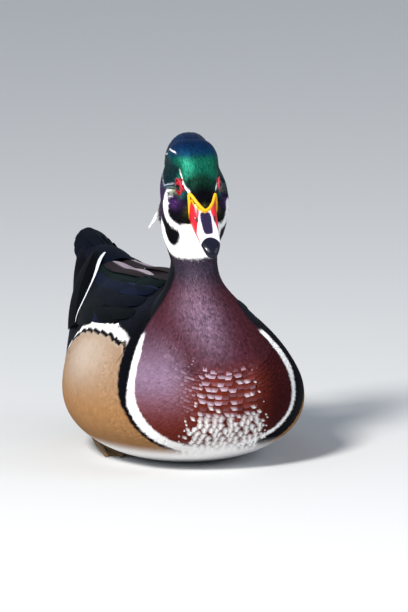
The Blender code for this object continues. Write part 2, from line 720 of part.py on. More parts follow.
TAIL_PAIRS, TAIL_FAN = 4, (6, 31, 57, 84)
TAIL_ROOT, TAIL_TOP, TAIL_ARCH, TAIL_SWING = (268.0, 108.0), 117.4, 13.4, 1.4
TAIL_SPREAD = 1.15                               # how much wider than round the arch is


def make_tail(parts, scratch):
    """Long feathers held in an arch under one another, from a root pad over the rump."""
    tail = skin_shell("tail", TORSO_PLACES[3:9], list(range(-4, 5)), tail_pad, PLUMAGE_DARK, parts)
    vanes = []
    for n in range(TAIL_PAIRS):
        for side in (1, -1):
            angle = side * math.radians(TAIL_FAN[n])
            arch = TAIL_ARCH - 0.98 * (n + (1 if n or side < 0 else 0))
            spoke = np.array([math.sin(angle) * TAIL_SPREAD, 0, math.cos(angle)])
            root = np.array([0, TAIL_ROOT[0], TAIL_ROOT[1] - TAIL_ARCH]) + arch * spoke + (0, 0, -1.5)
            reach = TAIL_TIP - 4.5 * n**1.25
            tip = np.array([TAIL_SWING, reach, TAIL_TOP - TAIL_ARCH]) + arch * spoke
            path = bezier([root, root * 0.66 + tip * 0.34, root * 0.3 + tip * 0.7, tip], 6)
            path[:, 1] -= BREAST_TO_ORIGIN
            acrosses, outs = path_frames(path, spoke)
            vanes.append(strip_solid("rectrix", path, acrosses, outs, vane_widths(6, 16, 0.6, 0.45),
                                     np.full(6, 0.65), PLUMAGE_DARK, scratch))
    apply_boolean(tail, "UNION", vanes, "MANIFOLD")
    apply_boolean(tail, "DIFFERENCE", [grown_body(GAP, scratch)], "MANIFOLD")
    return tail


def tail_pad(i, j):
    return 0.8 + 2.9 * math.sin(math.pi * i) ** 0.8 * math.sin(math.pi * j) ** 0.7


FOOT_TOES = ((-9, 118), (0, 111), (9, 117))      # toe tips: side offset and distance behind the breast


def make_feet(parts, scratch):
    for name, side in (("foot_right", -1), ("foot_left", 1)):
        foot_side, ankle_back, toes_back = 46.0, 186.0, 160.0
        ankle = body_point(side * foot_side, ankle_back, 12.0)
        knuckle = body_point(side * foot_side, toes_back, 2.2)
        leg = tube("leg", [ankle, (ankle + knuckle) / 2 + (0, 0, 0.6), knuckle], [2.6, 2.3, 2.4], scratch)
        toes = []
        for offset, tip_back in FOOT_TOES:
            tip = body_point(side * (foot_side - 2) + offset, tip_back, 1.2)
            toes.append(tube("toe", [knuckle, (knuckle + tip) / 2, tip], [2.2, 1.9, 1.3], scratch))
        web_points = [knuckle + (0, 3, 0)] + [body_point(side * (foot_side - 2) + o, b + 6, 1.5) for o, b in FOOT_TOES]
        leg.name = name
        for held_by in list(leg.users_collection):
            held_by.objects.unlink(leg)
        parts.objects.link(leg)
        apply_boolean(leg, "UNION", toes + [web(web_points, scratch)], "MANIFOLD")
        apply_boolean(leg, "DIFFERENCE", [grown_body(GAP, scratch), floor_box(scratch)])


def tube(name, points, radii, collection, around=8):
    """A tapering round rod through a few points."""
    points = np.array(points, float)
    acrosses, outs = path_frames(points, np.array([0, 0, 1.0]))
    rings = []
    for point, across, out, radius in zip(points, acrosses, outs, radii):
        angle = 2 * np.pi * np.arange(around) / around
        rings.append(point + radius * (np.cos(angle)[:, None] * across + np.sin(angle)[:, None] * out))
    return lofted(name, np.array(rings), FOOT_SKIN, collection)


def web(corners, collection, thick=1.3, low=0.0):
    """The skin stretched between the toes, a thin plate near the floor."""
    flat = [np.array([c[0], c[1], low]) for c in corners]
    raised = [c + (0, 0, thick) for c in flat]
    faces = [(0, 2, 1), (0, 3, 2), (4, 5, 6), (4, 6, 7)]
    for a, b in ((0, 1), (1, 2), (2, 3), (3, 0)):
        faces += [(a, b, b + 4), (a, b + 4, a + 4)]
    obj = new_object("web", flat + raised, faces, FOOT_SKIN, collection)
    face_outwards(obj)
    return obj


def floor_box(collection):
    """What lies under the floor, so that a foot ends in a flat at the belly's level."""
    mesh = bmesh.new()
    bmesh.ops.create_cube(mesh, size=1)
    bmesh.ops.scale(mesh, vec=(0.4, 0.4, 0.02), verts=mesh.verts)
    bmesh.ops.translate(mesh, vec=(0, 0, -0.01), verts=mesh.verts)
    data = bpy.data.meshes.new("floor")
    mesh.to_mesh(data)
    mesh.free()
    obj = bpy.data.objects.new("floor", data)
    collection.objects.link(obj)
    return obj


def main():
    clear_scene()
    parts = bpy.data.collections.new("wood_duck")
    scratch = bpy.data.collections.new("cutters")
    scratch.hide_render = True
    for collection in (parts, scratch):
        bpy.context.scene.collection.children.link(collection)
    make_torso(parts, scratch)
    make_neck(parts)
    make_head(parts, scratch)
    make_eyes(parts)
    make_bill(parts, scratch)
    make_crest(parts, scratch)
    make_wings(parts, scratch)
    make_tail(parts, scratch)
    make_feet(parts, scratch)


main()
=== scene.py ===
# %% [markdown]
# A drake wood duck sits level, as it does afloat, with its head turned a little from its body.
# The imported solids give the bird's true size and place; this lesson dresses them in plumage.
# It starts by loading those solids.

# %% Load the fixed frame
import json
import math

import bmesh
import bpy
import numpy as np
from mathutils import Euler, Matrix, Vector
from mathutils.bvhtree import BVHTree
from mathutils.kdtree import KDTree

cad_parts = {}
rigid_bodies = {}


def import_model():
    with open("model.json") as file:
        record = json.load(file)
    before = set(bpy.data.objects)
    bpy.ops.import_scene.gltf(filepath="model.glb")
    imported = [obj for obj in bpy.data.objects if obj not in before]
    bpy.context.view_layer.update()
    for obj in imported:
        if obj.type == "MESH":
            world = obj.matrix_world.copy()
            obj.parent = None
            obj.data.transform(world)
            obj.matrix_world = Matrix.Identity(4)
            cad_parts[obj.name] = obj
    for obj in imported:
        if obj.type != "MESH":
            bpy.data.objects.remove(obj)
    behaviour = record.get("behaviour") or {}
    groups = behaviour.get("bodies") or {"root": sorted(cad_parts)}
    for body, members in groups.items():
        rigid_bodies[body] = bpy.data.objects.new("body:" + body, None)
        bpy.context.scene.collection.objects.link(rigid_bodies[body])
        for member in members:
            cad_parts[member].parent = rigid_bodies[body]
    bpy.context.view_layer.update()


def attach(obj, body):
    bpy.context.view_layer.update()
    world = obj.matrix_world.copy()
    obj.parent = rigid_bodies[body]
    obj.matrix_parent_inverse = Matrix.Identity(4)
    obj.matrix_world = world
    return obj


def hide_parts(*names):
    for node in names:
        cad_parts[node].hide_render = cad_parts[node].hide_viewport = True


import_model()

MM = 0.001

# %% [markdown]
# A real duck's surface is a long tube of changing section: wide and flat-bellied at the body,
# slim at the neck, and deep and narrow at the head. The same few sections that the solids were
# drawn from are joined here by smooth curves, on a much finer grid, so that every feather can be
# set by its place along the bird and its share of a turn round it.

# %% The bird's sections
BREAST_TO_ORIGIN = 125.0
TAIL_TIP = 331.0
EYE_BACK, EYE_UP, EYE_SIDE = 50.0, 183.0, -2.3
HEAD_PITCH, HEAD_TURN, HEAD_ROLL = math.radians(13), math.radians(-6), math.radians(1.4)
ANGLES = 128
NECK_END = 20                                    # the first section of the head

# Dorsal (back, up), ventral (back, up), half width, widest share, roundness above, below, shift.
BODY_SECTIONS = [
    ((312, 113), (307, 103), 9, 0.55, 2.0, 2.0, 0.5),
    ((306, 112.5), (293, 85), 15.5, 0.55, 2.0, 2.0, 0.3),
    ((297, 111), (275, 64), 21.5, 0.52, 2.0, 2.0, 0),
    ((282, 108.5), (254, 44), 28, 0.5, 2.0, 2.0, 0),
    ((262, 105.5), (231, 25), 36.8, 0.45, 1.9, 2.0, 0),
    ((239, 104), (206, 9.5), 47.5, 0.42, 1.75, 2.0, 0),
    ((215, 103.5), (181, 1.5), 57.5, 0.39, 1.65, 2.0, 0),
    ((192, 105.5), (155, -2.5), 66.5, 0.37, 1.65, 2.1, 0),
    ((172, 107), (127, -3.5), 72, 0.36, 1.65, 2.1, 0),
    ((154, 108), (96, -3), 74, 0.36, 1.65, 2.1, 0),
    ((140, 109), (64, 1), 71.5, 0.36, 1.65, 2.1, 0),
    ((128, 110), (34, 9.5), 66.5, 0.35, 1.65, 2.1, 0),
    ((118, 111), (13, 24), 60.5, 0.35, 1.6, 2.0, 0),
    ((111, 112.5), (3.5, 40), 53, 0.36, 1.6, 2.0, 0),
    ((105, 115), (1.5, 56), 44.5, 0.36, 1.55, 2.0, -0.8),
    ((100, 118.5), (6.5, 72), 35, 0.37, 1.6, 2.0, -1.6),
    ((96, 124), (16.5, 87), 25.5, 0.40, 1.65, 2.0, -2.6),
    ((92.5, 131.5), (28, 101), 18, 0.43, 1.8, 2.0, -3.4),
    ((89.5, 140.5), (37, 114), 14.4, 0.46, 2.0, 2.0, -3.9),
    ((87, 151), (42, 127), 15.3, 0.5, 2.0, 2.0, -5.2),
    ((86, 162), (44, 138), 18.0, 0.5, 2.0, 2.0, -5.4),
]
# The head's, in its own frame: dorsal (forward, up), ventral (forward, up), then as above.
HEAD_SECTIONS = [
    ((-36, -14), (15, -37), 20.6, 0.5, 2.0, 2.0, -1.6),
    ((-39.5, -3), (14, -32.5), 21.4, 0.48, 2.2, 2.0, -0.9),
    ((-40, 9.5), (13.5, -29.5), 21.8, 0.45, 2.5, 2.0, -0.8),
    ((-34, 20), (13, -27.5), 20.8, 0.41, 2.8, 2.0, -0.8),
    ((-22, 23.8), (12.5, -26.2), 18.6, 0.40, 2.8, 2.0, -0.6),
    ((-9.5, 20.8), (12, -25.3), 16.1, 0.41, 2.5, 2.0, -0.3),
    ((-0.5, 15.2), (11.8, -24.7), 13.7, 0.42, 2.3, 2.0, 0),
    ((6, 8.6), (11.8, -24.2), 10.6, 0.42, 2.3, 2.0, 0),
    ((10.4, 3), (12.4, -23.4), 8.3, 0.42, 2.4, 2.0, 0),
    ((14.4, -3.2), (13.6, -22.5), 7.2, 0.42, 2.6, 2.0, 0),
    ((17.3, -7.8), (15.2, -21.2), 5.3, 0.42, 2.5, 2.0, 0),
    ((19.2, -11.2), (16.6, -19.5), 2.4, 0.45, 2.2, 2.0, 0),
]
TEMPLE_UP, TEMPLE_REACH, TEMPLE_DEPTH = 7.5, 7.5, 0.15   # the hollow of each side at the eye's height


def ring_angles(count):
    return 2 * np.pi * np.arange(count) / count


def unit(vectors):
    vectors = np.asarray(vectors, float)
    return vectors / np.maximum(np.linalg.norm(vectors, axis=-1, keepdims=True), 1e-9)


HEAD_MATRIX = np.array(
    Matrix.Translation(Vector((EYE_SIDE, EYE_BACK - BREAST_TO_ORIGIN, EYE_UP)))
    @ (Euler((HEAD_PITCH, 0, HEAD_TURN), "XYZ").to_matrix() @ Euler((0, HEAD_ROLL, 0)).to_matrix()).to_4x4())


def head_points(points):
    """Points (left, backward, up) of the head's frame, placed on the bird."""
    return np.asarray(points, float) @ HEAD_MATRIX[:3, :3].T + HEAD_MATRIX[:3, 3]


def head_coordinates(points):
    """The (forward, up, left) of points of the bird in the head's frame."""
    local = (points - HEAD_MATRIX[:3, 3]) @ HEAD_MATRIX[:3, :3]
    return -local[..., 1], local[..., 2], local[..., 0]


def section_ring(dorsal, ventral, half_width, widest, above, below, count=ANGLES):
    """Points round one section as (side, along, up), from the ridge down the right side."""
    dorsal, ventral = np.array(dorsal, float), np.array(ventral, float)
    centre = ventral + widest * (dorsal - ventral)
    angle = ring_angles(count)
    cosine, sine = np.cos(angle), np.sin(angle)
    power = np.where(cosine >= 0, above, below)
    along = np.abs(cosine) ** (2 / power)
    side = -np.sign(sine) * np.abs(sine) ** (2 / power) * half_width
    reach = np.where((cosine >= 0)[:, None], dorsal - centre, ventral - centre)
    return np.column_stack([side, centre + along[:, None] * reach])


def key_rings():
    rings = []
    for *shape, shift in BODY_SECTIONS:
        rings.append(section_ring(*shape) + (shift, -BREAST_TO_ORIGIN, 0))
    for *shape, shift in HEAD_SECTIONS:
        ring = section_ring(*shape)
        ring[:, 0] *= 1 - TEMPLE_DEPTH * np.exp(-((ring[:, 2] - TEMPLE_UP) / TEMPLE_REACH) ** 2)
        rings.append(head_points(ring * (1, -1, 1) + (shift, 0, 0)))
    return np.array(rings)

# %% [markdown]
# Between the drawn sections the surface has to run smoothly. A Catmull-Rom curve goes through
# each of its keys, so the sections stay as drawn. The grid that comes of it is read as a table,
# by section number and share of a turn, and gives the direction of the skin at any place.

# %% From sections to a grid


def catmull(keys, t):
    """Smooth curves through evenly numbered keys, at the numbers t."""
    t = np.clip(np.asarray(t, float), 0, len(keys) - 1)
    i = np.minimum(t.astype(int), len(keys) - 2)
    f = (t - i).reshape(-1, *[1] * (keys.ndim - 1))
    a, b = keys[np.maximum(i - 1, 0)], keys[i]
    c, d = keys[i + 1], keys[np.minimum(i + 2, len(keys) - 1)]
    return 0.5 * (2 * b + (c - a) * f + (2 * a - 5 * b + 4 * c - d) * f**2
                  + (3 * b - a - 3 * c + d) * f**3)


PER_PLACE = 10                                   # grid rows from one section to the next


def sample(table, place, turn):
    """Values of a grid table at section numbers and shares of a turn."""
    place, turn = np.broadcast_arrays(np.asarray(place, float), np.asarray(turn, float))
    row = np.clip(place * PER_PLACE, 0, table.shape[0] - 1.001)
    column = (turn % 1.0) * table.shape[1]
    i, j = row.astype(int), column.astype(int) % table.shape[1]
    f, g = row - i, column - np.floor(column)
    k = (j + 1) % table.shape[1]
    if table.ndim == 3:
        f, g = f[..., None], g[..., None]
    return (table[i, j] * (1 - f) * (1 - g) + table[i + 1, j] * f * (1 - g)
            + table[i, k] * (1 - f) * g + table[i + 1, k] * f * g)


class Surface:
    """A round grid of points with its directions, that feathers are set on."""

    def __init__(self, grid):
        self.grid = grid
        along = np.gradient(grid, axis=0) * PER_PLACE
        around = (np.roll(grid, -1, axis=1) - np.roll(grid, 1, axis=1)) / 2 * grid.shape[1]
        self.normals = unit(np.cross(around, along))
        self.step_along = np.linalg.norm(along, axis=2)      # millimetres for one section number
        self.step_around = np.linalg.norm(around, axis=2)    # millimetres for one whole turn
        self.last = (grid.shape[0] - 1) / PER_PLACE

    def at(self, place, turn, lift=0.0):
        """Points over the surface, and the outward directions there."""
        normal = unit(sample(self.normals, place, turn))
        return sample(self.grid, place, turn) + normal * np.asarray(lift, float)[..., None], normal

# %% [markdown]
# The eyes sit in sockets, so the cheek is pressed back round each of them. The folded wings stand
# a little over the back and leave a cleft between them. Both are changes to the finished grid,
# because they are small against the sections and would need many more of those.

# %% Sockets and folded wings
EYE_CENTRE, EYE_RADIUS, EYE_FACES = (9.5, -1.3, 0.4), 6.3, (0.975, 0.21, 0.06)
LEFT_EYE_DEEPER = 1.3
ORBIT_RADIUS, ORBIT_DEPTH, ORBIT_FROM = 9.0, 3.2, 7.6
RIM_RADIUS, RIM_TOP, RIM_FALL, RIM_BASE = 8.5, 4.6, 3.2, -3


def eye_axes(side):
    """The eye's centre and its outward, backward and upward directions, on the bird."""
    outward = unit([side * EYE_FACES[0], -EYE_FACES[1], EYE_FACES[2]])
    backward = unit(np.cross(outward, [0, 0, 1.0]) * -side)
    upward = np.cross(outward, backward) * side
    upward = upward if upward[2] > 0 else -upward
    turned = HEAD_MATRIX[:3, :3]
    deeper = LEFT_EYE_DEEPER * (side > 0)
    centre = head_points(np.array([side * (EYE_CENTRE[0] - deeper), -EYE_CENTRE[1], EYE_CENTRE[2]]))
    return centre, turned @ outward, turned @ backward, turned @ upward


def eye_distances(points, centre, outward):
    """How far points stand out from an eye's centre, and how far they are from its axis."""
    height = (points - centre) @ outward
    return height, np.linalg.norm(points - centre - height[..., None] * outward, axis=-1)


def sink_orbits(points):
    """Presses the cheek back round each eye, so that the lids stand clear of it."""
    points = points.copy()
    for side in (1, -1):
        centre, outward, _, _ = eye_axes(side)
        height, radius = eye_distances(points, centre, outward)
        floor = ORBIT_FROM - ORBIT_DEPTH * np.sqrt(np.clip(1 - (radius / ORBIT_RADIUS) ** 2, 0, 1))
        over = (radius < ORBIT_RADIUS) & (height > floor)
        points += np.where(over, floor - height, 0)[..., None] * outward
        rim = RIM_TOP - RIM_FALL * (radius / RIM_RADIUS) ** 2     # and the skin rises to meet the ball
        low = (radius < RIM_RADIUS) & (height > RIM_BASE) & (height < rim)
        points += np.where(low, rim - height, 0)[..., None] * outward
    return points


WING_FROM, WING_SPAN, WING_CLEFT, WING_EDGE = 4.2, 9.6, 0.03, 0.14
WING_BASE, WING_RISE = 1.0, 3.4


def wing_swell(place, turn):
    """How far the folded wings stand over the skin of the back."""
    bulge = np.sin(np.pi * np.clip((place - WING_FROM) / WING_SPAN, 0, 1))
    down = np.clip((np.abs(turn) - WING_CLEFT) / 0.1, 0, 1)
    cleft = np.clip(np.abs(turn) / WING_CLEFT, 0, 1) ** 1.5
    edge = np.clip((WING_EDGE - np.abs(turn)) / 0.02, 0, 1)
    return (WING_BASE + WING_RISE * bulge**0.6 * (1 - 0.8 * down) ** 0.7) * cleft * edge * bulge**0.3


def body_grid():
    keys = key_rings()
    grid = catmull(keys, np.arange((len(keys) - 1) * PER_PLACE + 1) / PER_PLACE)
    low = grid[:NECK_END * PER_PLACE]
    low[..., 2] = np.maximum(low[..., 2], 0)
    grid = sink_orbits(grid)
    turns = (np.arange(ANGLES) / ANGLES + 0.5) % 1.0 - 0.5
    places = np.arange(len(grid)) / PER_PLACE
    return grid + Surface(grid).normals * wing_swell(places[:, None], turns[None])[..., None]


BODY = Surface(body_grid())
print("skin grid:", BODY.grid.shape, "height", BODY.grid[..., 2].max())

# %% [markdown]
# Colour on a bird is a map of its skin: each small feather takes the colour of the place that it
# grows from. One function therefore gives the colour for any point, and both the skin and the
# feathers ask it. The white finger on the cheek, the bar before the flank and the white lines of
# the crown are drawn as lines with a width, in the head's own frame or along the body.

# %% The map of colours
NAVY, BLUE, TEAL = (0.0015, 0.014, 0.062), (0.002, 0.03, 0.10), (0.003, 0.062, 0.070)
EMERALD, OLIVE, BRONZE = (0.004, 0.105, 0.066), (0.07, 0.075, 0.02), (0.20, 0.17, 0.06)
DARK_GREEN, COOL_WHITE = (0.003, 0.026, 0.016), (0.62, 0.62, 0.80)
INK, VIOLET, MAUVE = (0.002, 0.002, 0.004), (0.055, 0.018, 0.10), (0.05, 0.026, 0.048)
WHITE, PLUM, SLATE_PLUM = (0.86, 0.85, 0.85), (0.050, 0.009, 0.016), (0.024, 0.017, 0.031)
HIGHLIGHT_LILAC, CHESTNUT, SHADED_WINE = (0.26, 0.18, 0.28), (0.105, 0.016, 0.010), (0.028, 0.004, 0.005)
TAN, OCHRE, PALE_LIT_TAN = (0.28, 0.17, 0.095), (0.28, 0.145, 0.06), (0.41, 0.335, 0.275)
BROWN, SHEEN_SLATE, DEEP_TEAL = (0.055, 0.035, 0.028), (0.05, 0.06, 0.095), (0.004, 0.022, 0.026)
HIGHLIGHT_EDGE_LILAC = (0.46, 0.35, 0.45)

LINE_BROW = ((7.6, -0.1), (5.7, 1.9), (2.2, 4.7), (-1.7, 7.4), (-5.7, 11.4), (-9.4, 15.5), (-16, 18.6),
             (-27, 17.0), (-40, 8))
BROW_WIDTHS = ([0, 0.15, 0.35, 0.48, 0.53, 0.68, 0.76, 1],
               [0.6, 0.8, 0.55, 0.1, -0.5, -0.5, 0.3, 0.2])
LINE_EYE = ((-7.0, 1.0), (-9.0, -0.6), (-11.8, -2.4), (-18.0, -1.0), (-26, 1.5), (-36, 0))
# The white throat with its two fingers: one behind the cheek, one behind the neck's dark lobe.
WHITE_EDGE = (
    (-7.4, -3.3), (-7.3, -5.6), (-7.3, -8.8), (-7.6, -13.1), (-6.6, -17.5), (-5.2, -20.5),
    (-2.4, -22.9), (1.4, -25.0), (5.5, -25.9), (7.6, -26.6), (8.2, -28.1), (9.1, -32), (9.1, -35),
    (7.4, -37.3), (4.5, -36.6), (2.0, -35.1), (-1.8, -31.7), (-4.6, -27.9), (-8, -26.2), (-14, -25.0),
    (-21, -24.0), (-20, -26.5), (-14, -31), (-8, -36.5), (-3, -41), (1.5, -44.1), (8.7, -44.5),
    (13.7, -43.8), (16, -43), (40, -43), (40, -21.2), (10.8, -21.2), (9.2, -21.6), (9.2, -22.6),
    (8, -22.6), (5.8, -21.3), (3.3, -20.1), (1.0, -18.2), (-0.1, -15.1), (-0.8, -10.5), (-3.3, -7.6),
    (-5.7, -5.6))
# The bars before the flank and the flank's upper edge, as distances behind the breast at heights.
BAR_HEIGHTS = (0, 15, 25, 38.5, 46, 55, 65.5, 78, 87, 95)
BAR_FRONT = (20, 23, 27, 31.5, 34.5, 38, 42, 48.1, 57.7, 63)
BAR_BACK = (29, 32, 35.5, 39.5, 42.9, 44.5, 48.8, 56.5, 62.7, 66)
BLACK_BACK = (33, 36, 39, 44.1, 49.2, 55.8, 64.8, 73, 78, 80)
LEFT_FRONT = (15, 18, 20, 21.7, 22.3, 23.2, 25, 28.6, 31.8, 37.5)
LEFT_BACK = (19, 22, 23.5, 25, 25.8, 27.6, 31.8, 35.2, 36.8, 37.5)
FLANK_EDGE = ((58, 70), (66, 77), (76.2, 83), (89.2, 85.5), (105.5, 87.8), (125.4, 87.6), (144.5, 86.4),
              (160.3, 83), (172.5, 77.2), (179, 71), (186, 60), (193, 45), (199, 30), (203, 10), (203, -40),
              (-40, -40), (-40, 50), (45, 60))
MANTLE_FRONT = ([86, 92, 98, 105, 112], [34, 36, 40, 48, 66])
# Where the head's colours end, as heights at distances forward of the eye.
HEAD_FOOT = ([-40, -20, -8, -3, 1.5, 8.7, 13.7, 17], [-46, -44, -42.5, -43, -44.1, -44.5, -43.8, -43.0])
SCALLOP = 13.5                                   # from one step of the flank's white edge to the next
HEAD_GLOSS = 0.75

# %% [markdown]
# A marking is a line or an outline with a soft edge. These helpers tell how far each point is
# from it, and lay one colour over another by a share between 0 and 1.

# %% Lines, outlines and layers of colour


def smooth(edge_low, edge_high, value):
    t = np.clip((value - edge_low) / (edge_high - edge_low), 0, 1)
    return t * t * (3 - 2 * t)


def mix(base, colour, share):
    share = np.asarray(share)[..., None]
    return base * (1 - share) + np.asarray(colour, float) * share


def near_line(line, *coordinates):
    """Distance from points to a line through a few places, and how far along it they are."""
    points = np.stack(coordinates, -1)
    line = np.array(line, float)
    best = np.full(points.shape[:-1], 1e9)
    along = np.zeros(points.shape[:-1])
    for n in range(len(line) - 1):
        step = line[n + 1] - line[n]
        t = np.clip(((points - line[n]) @ step) / (step @ step), 0, 1)
        gap = np.linalg.norm(points - (line[n] + t[..., None] * step), axis=-1)
        along = np.where(gap < best, n + t, along)
        best = np.minimum(best, gap)
    return best, along / (len(line) - 1)


def within(outline, *coordinates):
    """Signed distance to a closed outline, negative inside it."""
    across, up = coordinates
    inside = np.zeros(across.shape, bool)
    ends = np.roll(np.array(outline, float), -1, axis=0)
    for start, end in zip(np.array(outline, float), ends):
        with np.errstate(divide="ignore", invalid="ignore"):
            at = start[0] + (up - start[1]) / (end[1] - start[1]) * (end[0] - start[0])
        inside ^= ((start[1] > up) != (end[1] > up)) & (across < at)
    best, _ = near_line((*outline, outline[0]), across, up)
    return np.where(inside, -best, best)


def paint(shape, base, *layers):
    """A base colour with others over it in turn, each with its share at every point."""
    colour = np.zeros((*shape, 3)) + base
    for over, share in layers:
        colour = mix(colour, over, share)
    return colour


def spot(*axes):
    """A soft round spot: each axis gives values, the middle, and the square of its breadth."""
    return np.exp(-sum((values - middle) ** 2 / breadth for values, middle, breadth in axes))

# %% [markdown]
# The head is green and violet over a white throat. Its colours are laid over each other in turn,
# as a painter would, from the ground colour to the finest lines.

# %% Colours of the head


def head_colour(points):
    """Colour and gloss on the head and crest."""
    forward, up, left = head_coordinates(points)
    side = np.abs(left)
    high = up + 0.3 * (-forward - 9)
    below_brow = smooth(2.5, -0.5, up - 0.25 * forward) * smooth(8.5, 11.5, side + 0.35 * forward)
    nape = smooth(-5.5, -8.5, forward) * smooth(0, -6, up)
    colour = paint(
        side.shape, TEAL,
        # the crown: emerald over the brow, teal then navy on top, and dark green again down the crest
        (EMERALD, smooth(20, 15, high) * smooth(-16, -9, forward)),
        (BLUE, smooth(16.5, 21, high) * 0.8),
        (NAVY, smooth(19, 26, high) * 0.85),
        (DEEP_TEAL, smooth(14.5, 10, up) * smooth(8.5, 12, side) * smooth(-3, -7, forward)),
        (TEAL, smooth(-40, -52, forward) * 0.5),
        (DARK_GREEN, smooth(0.5, 6.5, forward - 0.3 * (up - 8)) * smooth(-12, -8, up)),
        (INK, smooth(6.5, 13.5, forward - 0.3 * (up - 5)) * smooth(-12, -8, up)),
        (OLIVE, spot((forward, 16.6, 3), (up, -6.6, 3), (side, 0, 6)) * 0.8),
        # the cheek: green and gold under the eye, then violet, and blue-black down to the throat
        (INK, below_brow),
        (TEAL, below_brow * smooth(-8, -3, up) * smooth(9, 5, forward)),
        (BRONZE, spot((forward, -3, 30), (up, -3.4, 4)) * below_brow * 0.6),
        (VIOLET, spot((forward, 1.5, 30), (up, -9.5, 14)) * below_brow),
        (OLIVE, spot((forward, 9.8, 1.6), (up, -12, 22)) * 0.45),
        (VIOLET, nape * (0.35 + 0.4 * smooth(-16, -10, up))),
        (INK, smooth(-22, -28, up) * smooth(-20, -8, forward)))
    # the white throat and its fingers: the left one lies a little farther forward, and ends lower
    drawn = forward - 3.6 * (left > 0) * smooth(-23, -18, up)
    throat = smooth(0.45, -0.45, within(WHITE_EDGE, drawn, up)) * (side > 4.5)
    throat = throat * (1 - (left > 0) * smooth(-10, -8.5, up))
    throat = np.maximum(throat, smooth(-21, -21.8, up) * smooth(8, 10, forward) * smooth(-44, -42.6, up))
    # the thin pale lines of the head
    gap, t = near_line(LINE_BROW, forward, up)
    brow = smooth(0.35, -0.3, gap - np.interp(t, *BROW_WIDTHS) + 0.5 * (left > 0))
    brow = brow * (side > 3.5) * smooth(-44, -38, forward)
    gap, t = near_line(LINE_EYE, forward, up)
    line = smooth(0.35, -0.25, gap - (0.25 - 0.1 * t)) * (side > 12) * 0.8 * (left < 0)
    colour = mix(mix(colour, COOL_WHITE, line), WHITE, np.maximum(throat, brow))
    return colour, HEAD_GLOSS * (1 - 0.95 * np.maximum.reduce([throat, brow, line]))

# %% [markdown]
# From the dark neck the body turns maroon, then tan behind a white bar and a black one. The upper
# edge of the flank goes in steps, because it is made of the tips of feathers.

# %% Colours of the body


def rim_depth(along, up):
    """Depth below the flank's upper edge, stepped where one plume's tip covers the next."""
    step = ((along - 70) / SCALLOP) % 1.0
    narrow = 4.6 - np.interp(along, [66, 78, 92, 150, 180], [0.2, 1.7, 4.6, 4.6, 2.2])
    return -within(FLANK_EDGE, along, up) + 1.6 * (step - 0.5) + narrow


def flank_colour(shape, along, up):
    """Golden tan with ochre below and a white belly; the paler tan in the middle of its upper half is a
    painted pool of light.
    """
    return paint(shape, OCHRE,
                 (TAN, smooth(36, 60, up)),
                 (PALE_LIT_TAN, np.exp(-((along - 128) / 42) ** 2 - ((up - 68) / 17) ** 2) * 0.95),
                 (WHITE, smooth(18, 8, up)))


def flank_bars(side, along, up):
    """The white bar before the flank and the black one behind it."""
    front, back = (np.where(side < 0, np.interp(up, BAR_HEIGHTS, right), np.interp(up, BAR_HEIGHTS, left))
                   for right, left in ((BAR_FRONT, LEFT_FRONT), (BAR_BACK, LEFT_BACK)))
    black_back = np.interp(up, BAR_HEIGHTS, BLACK_BACK)
    low = smooth(10, 20, up) * (np.abs(side) > 8)
    black = smooth(-0.5, 0.5, along - back) * smooth(0.6, -0.6, along - black_back) * smooth(96, 90, up)
    white = smooth(-0.5, 0.5, along - front) * smooth(0.5, -0.5, along - back) * smooth(89.5, 87.5, up)
    return white * low, black * low


def back_share(side, along, up, flank_depth):
    """Where the coat is black: the back and rump, and the mantle down the left shoulder."""
    back = smooth(0.5, -0.5, flank_depth) * smooth(76, 80, up + 0.5 * np.clip(along - 150, 0, 60))
    back = np.maximum(back, smooth(92, 98, up) * smooth(76, 90, along))
    back = back * smooth(64, 69, along + 0.15 * (up - 87))
    mantle = smooth(-1, 1, along - np.interp(up, *MANTLE_FRONT)) * smooth(84, 88, up)
    return np.maximum(back, mantle * smooth(112, 108, up) * (side > 8))


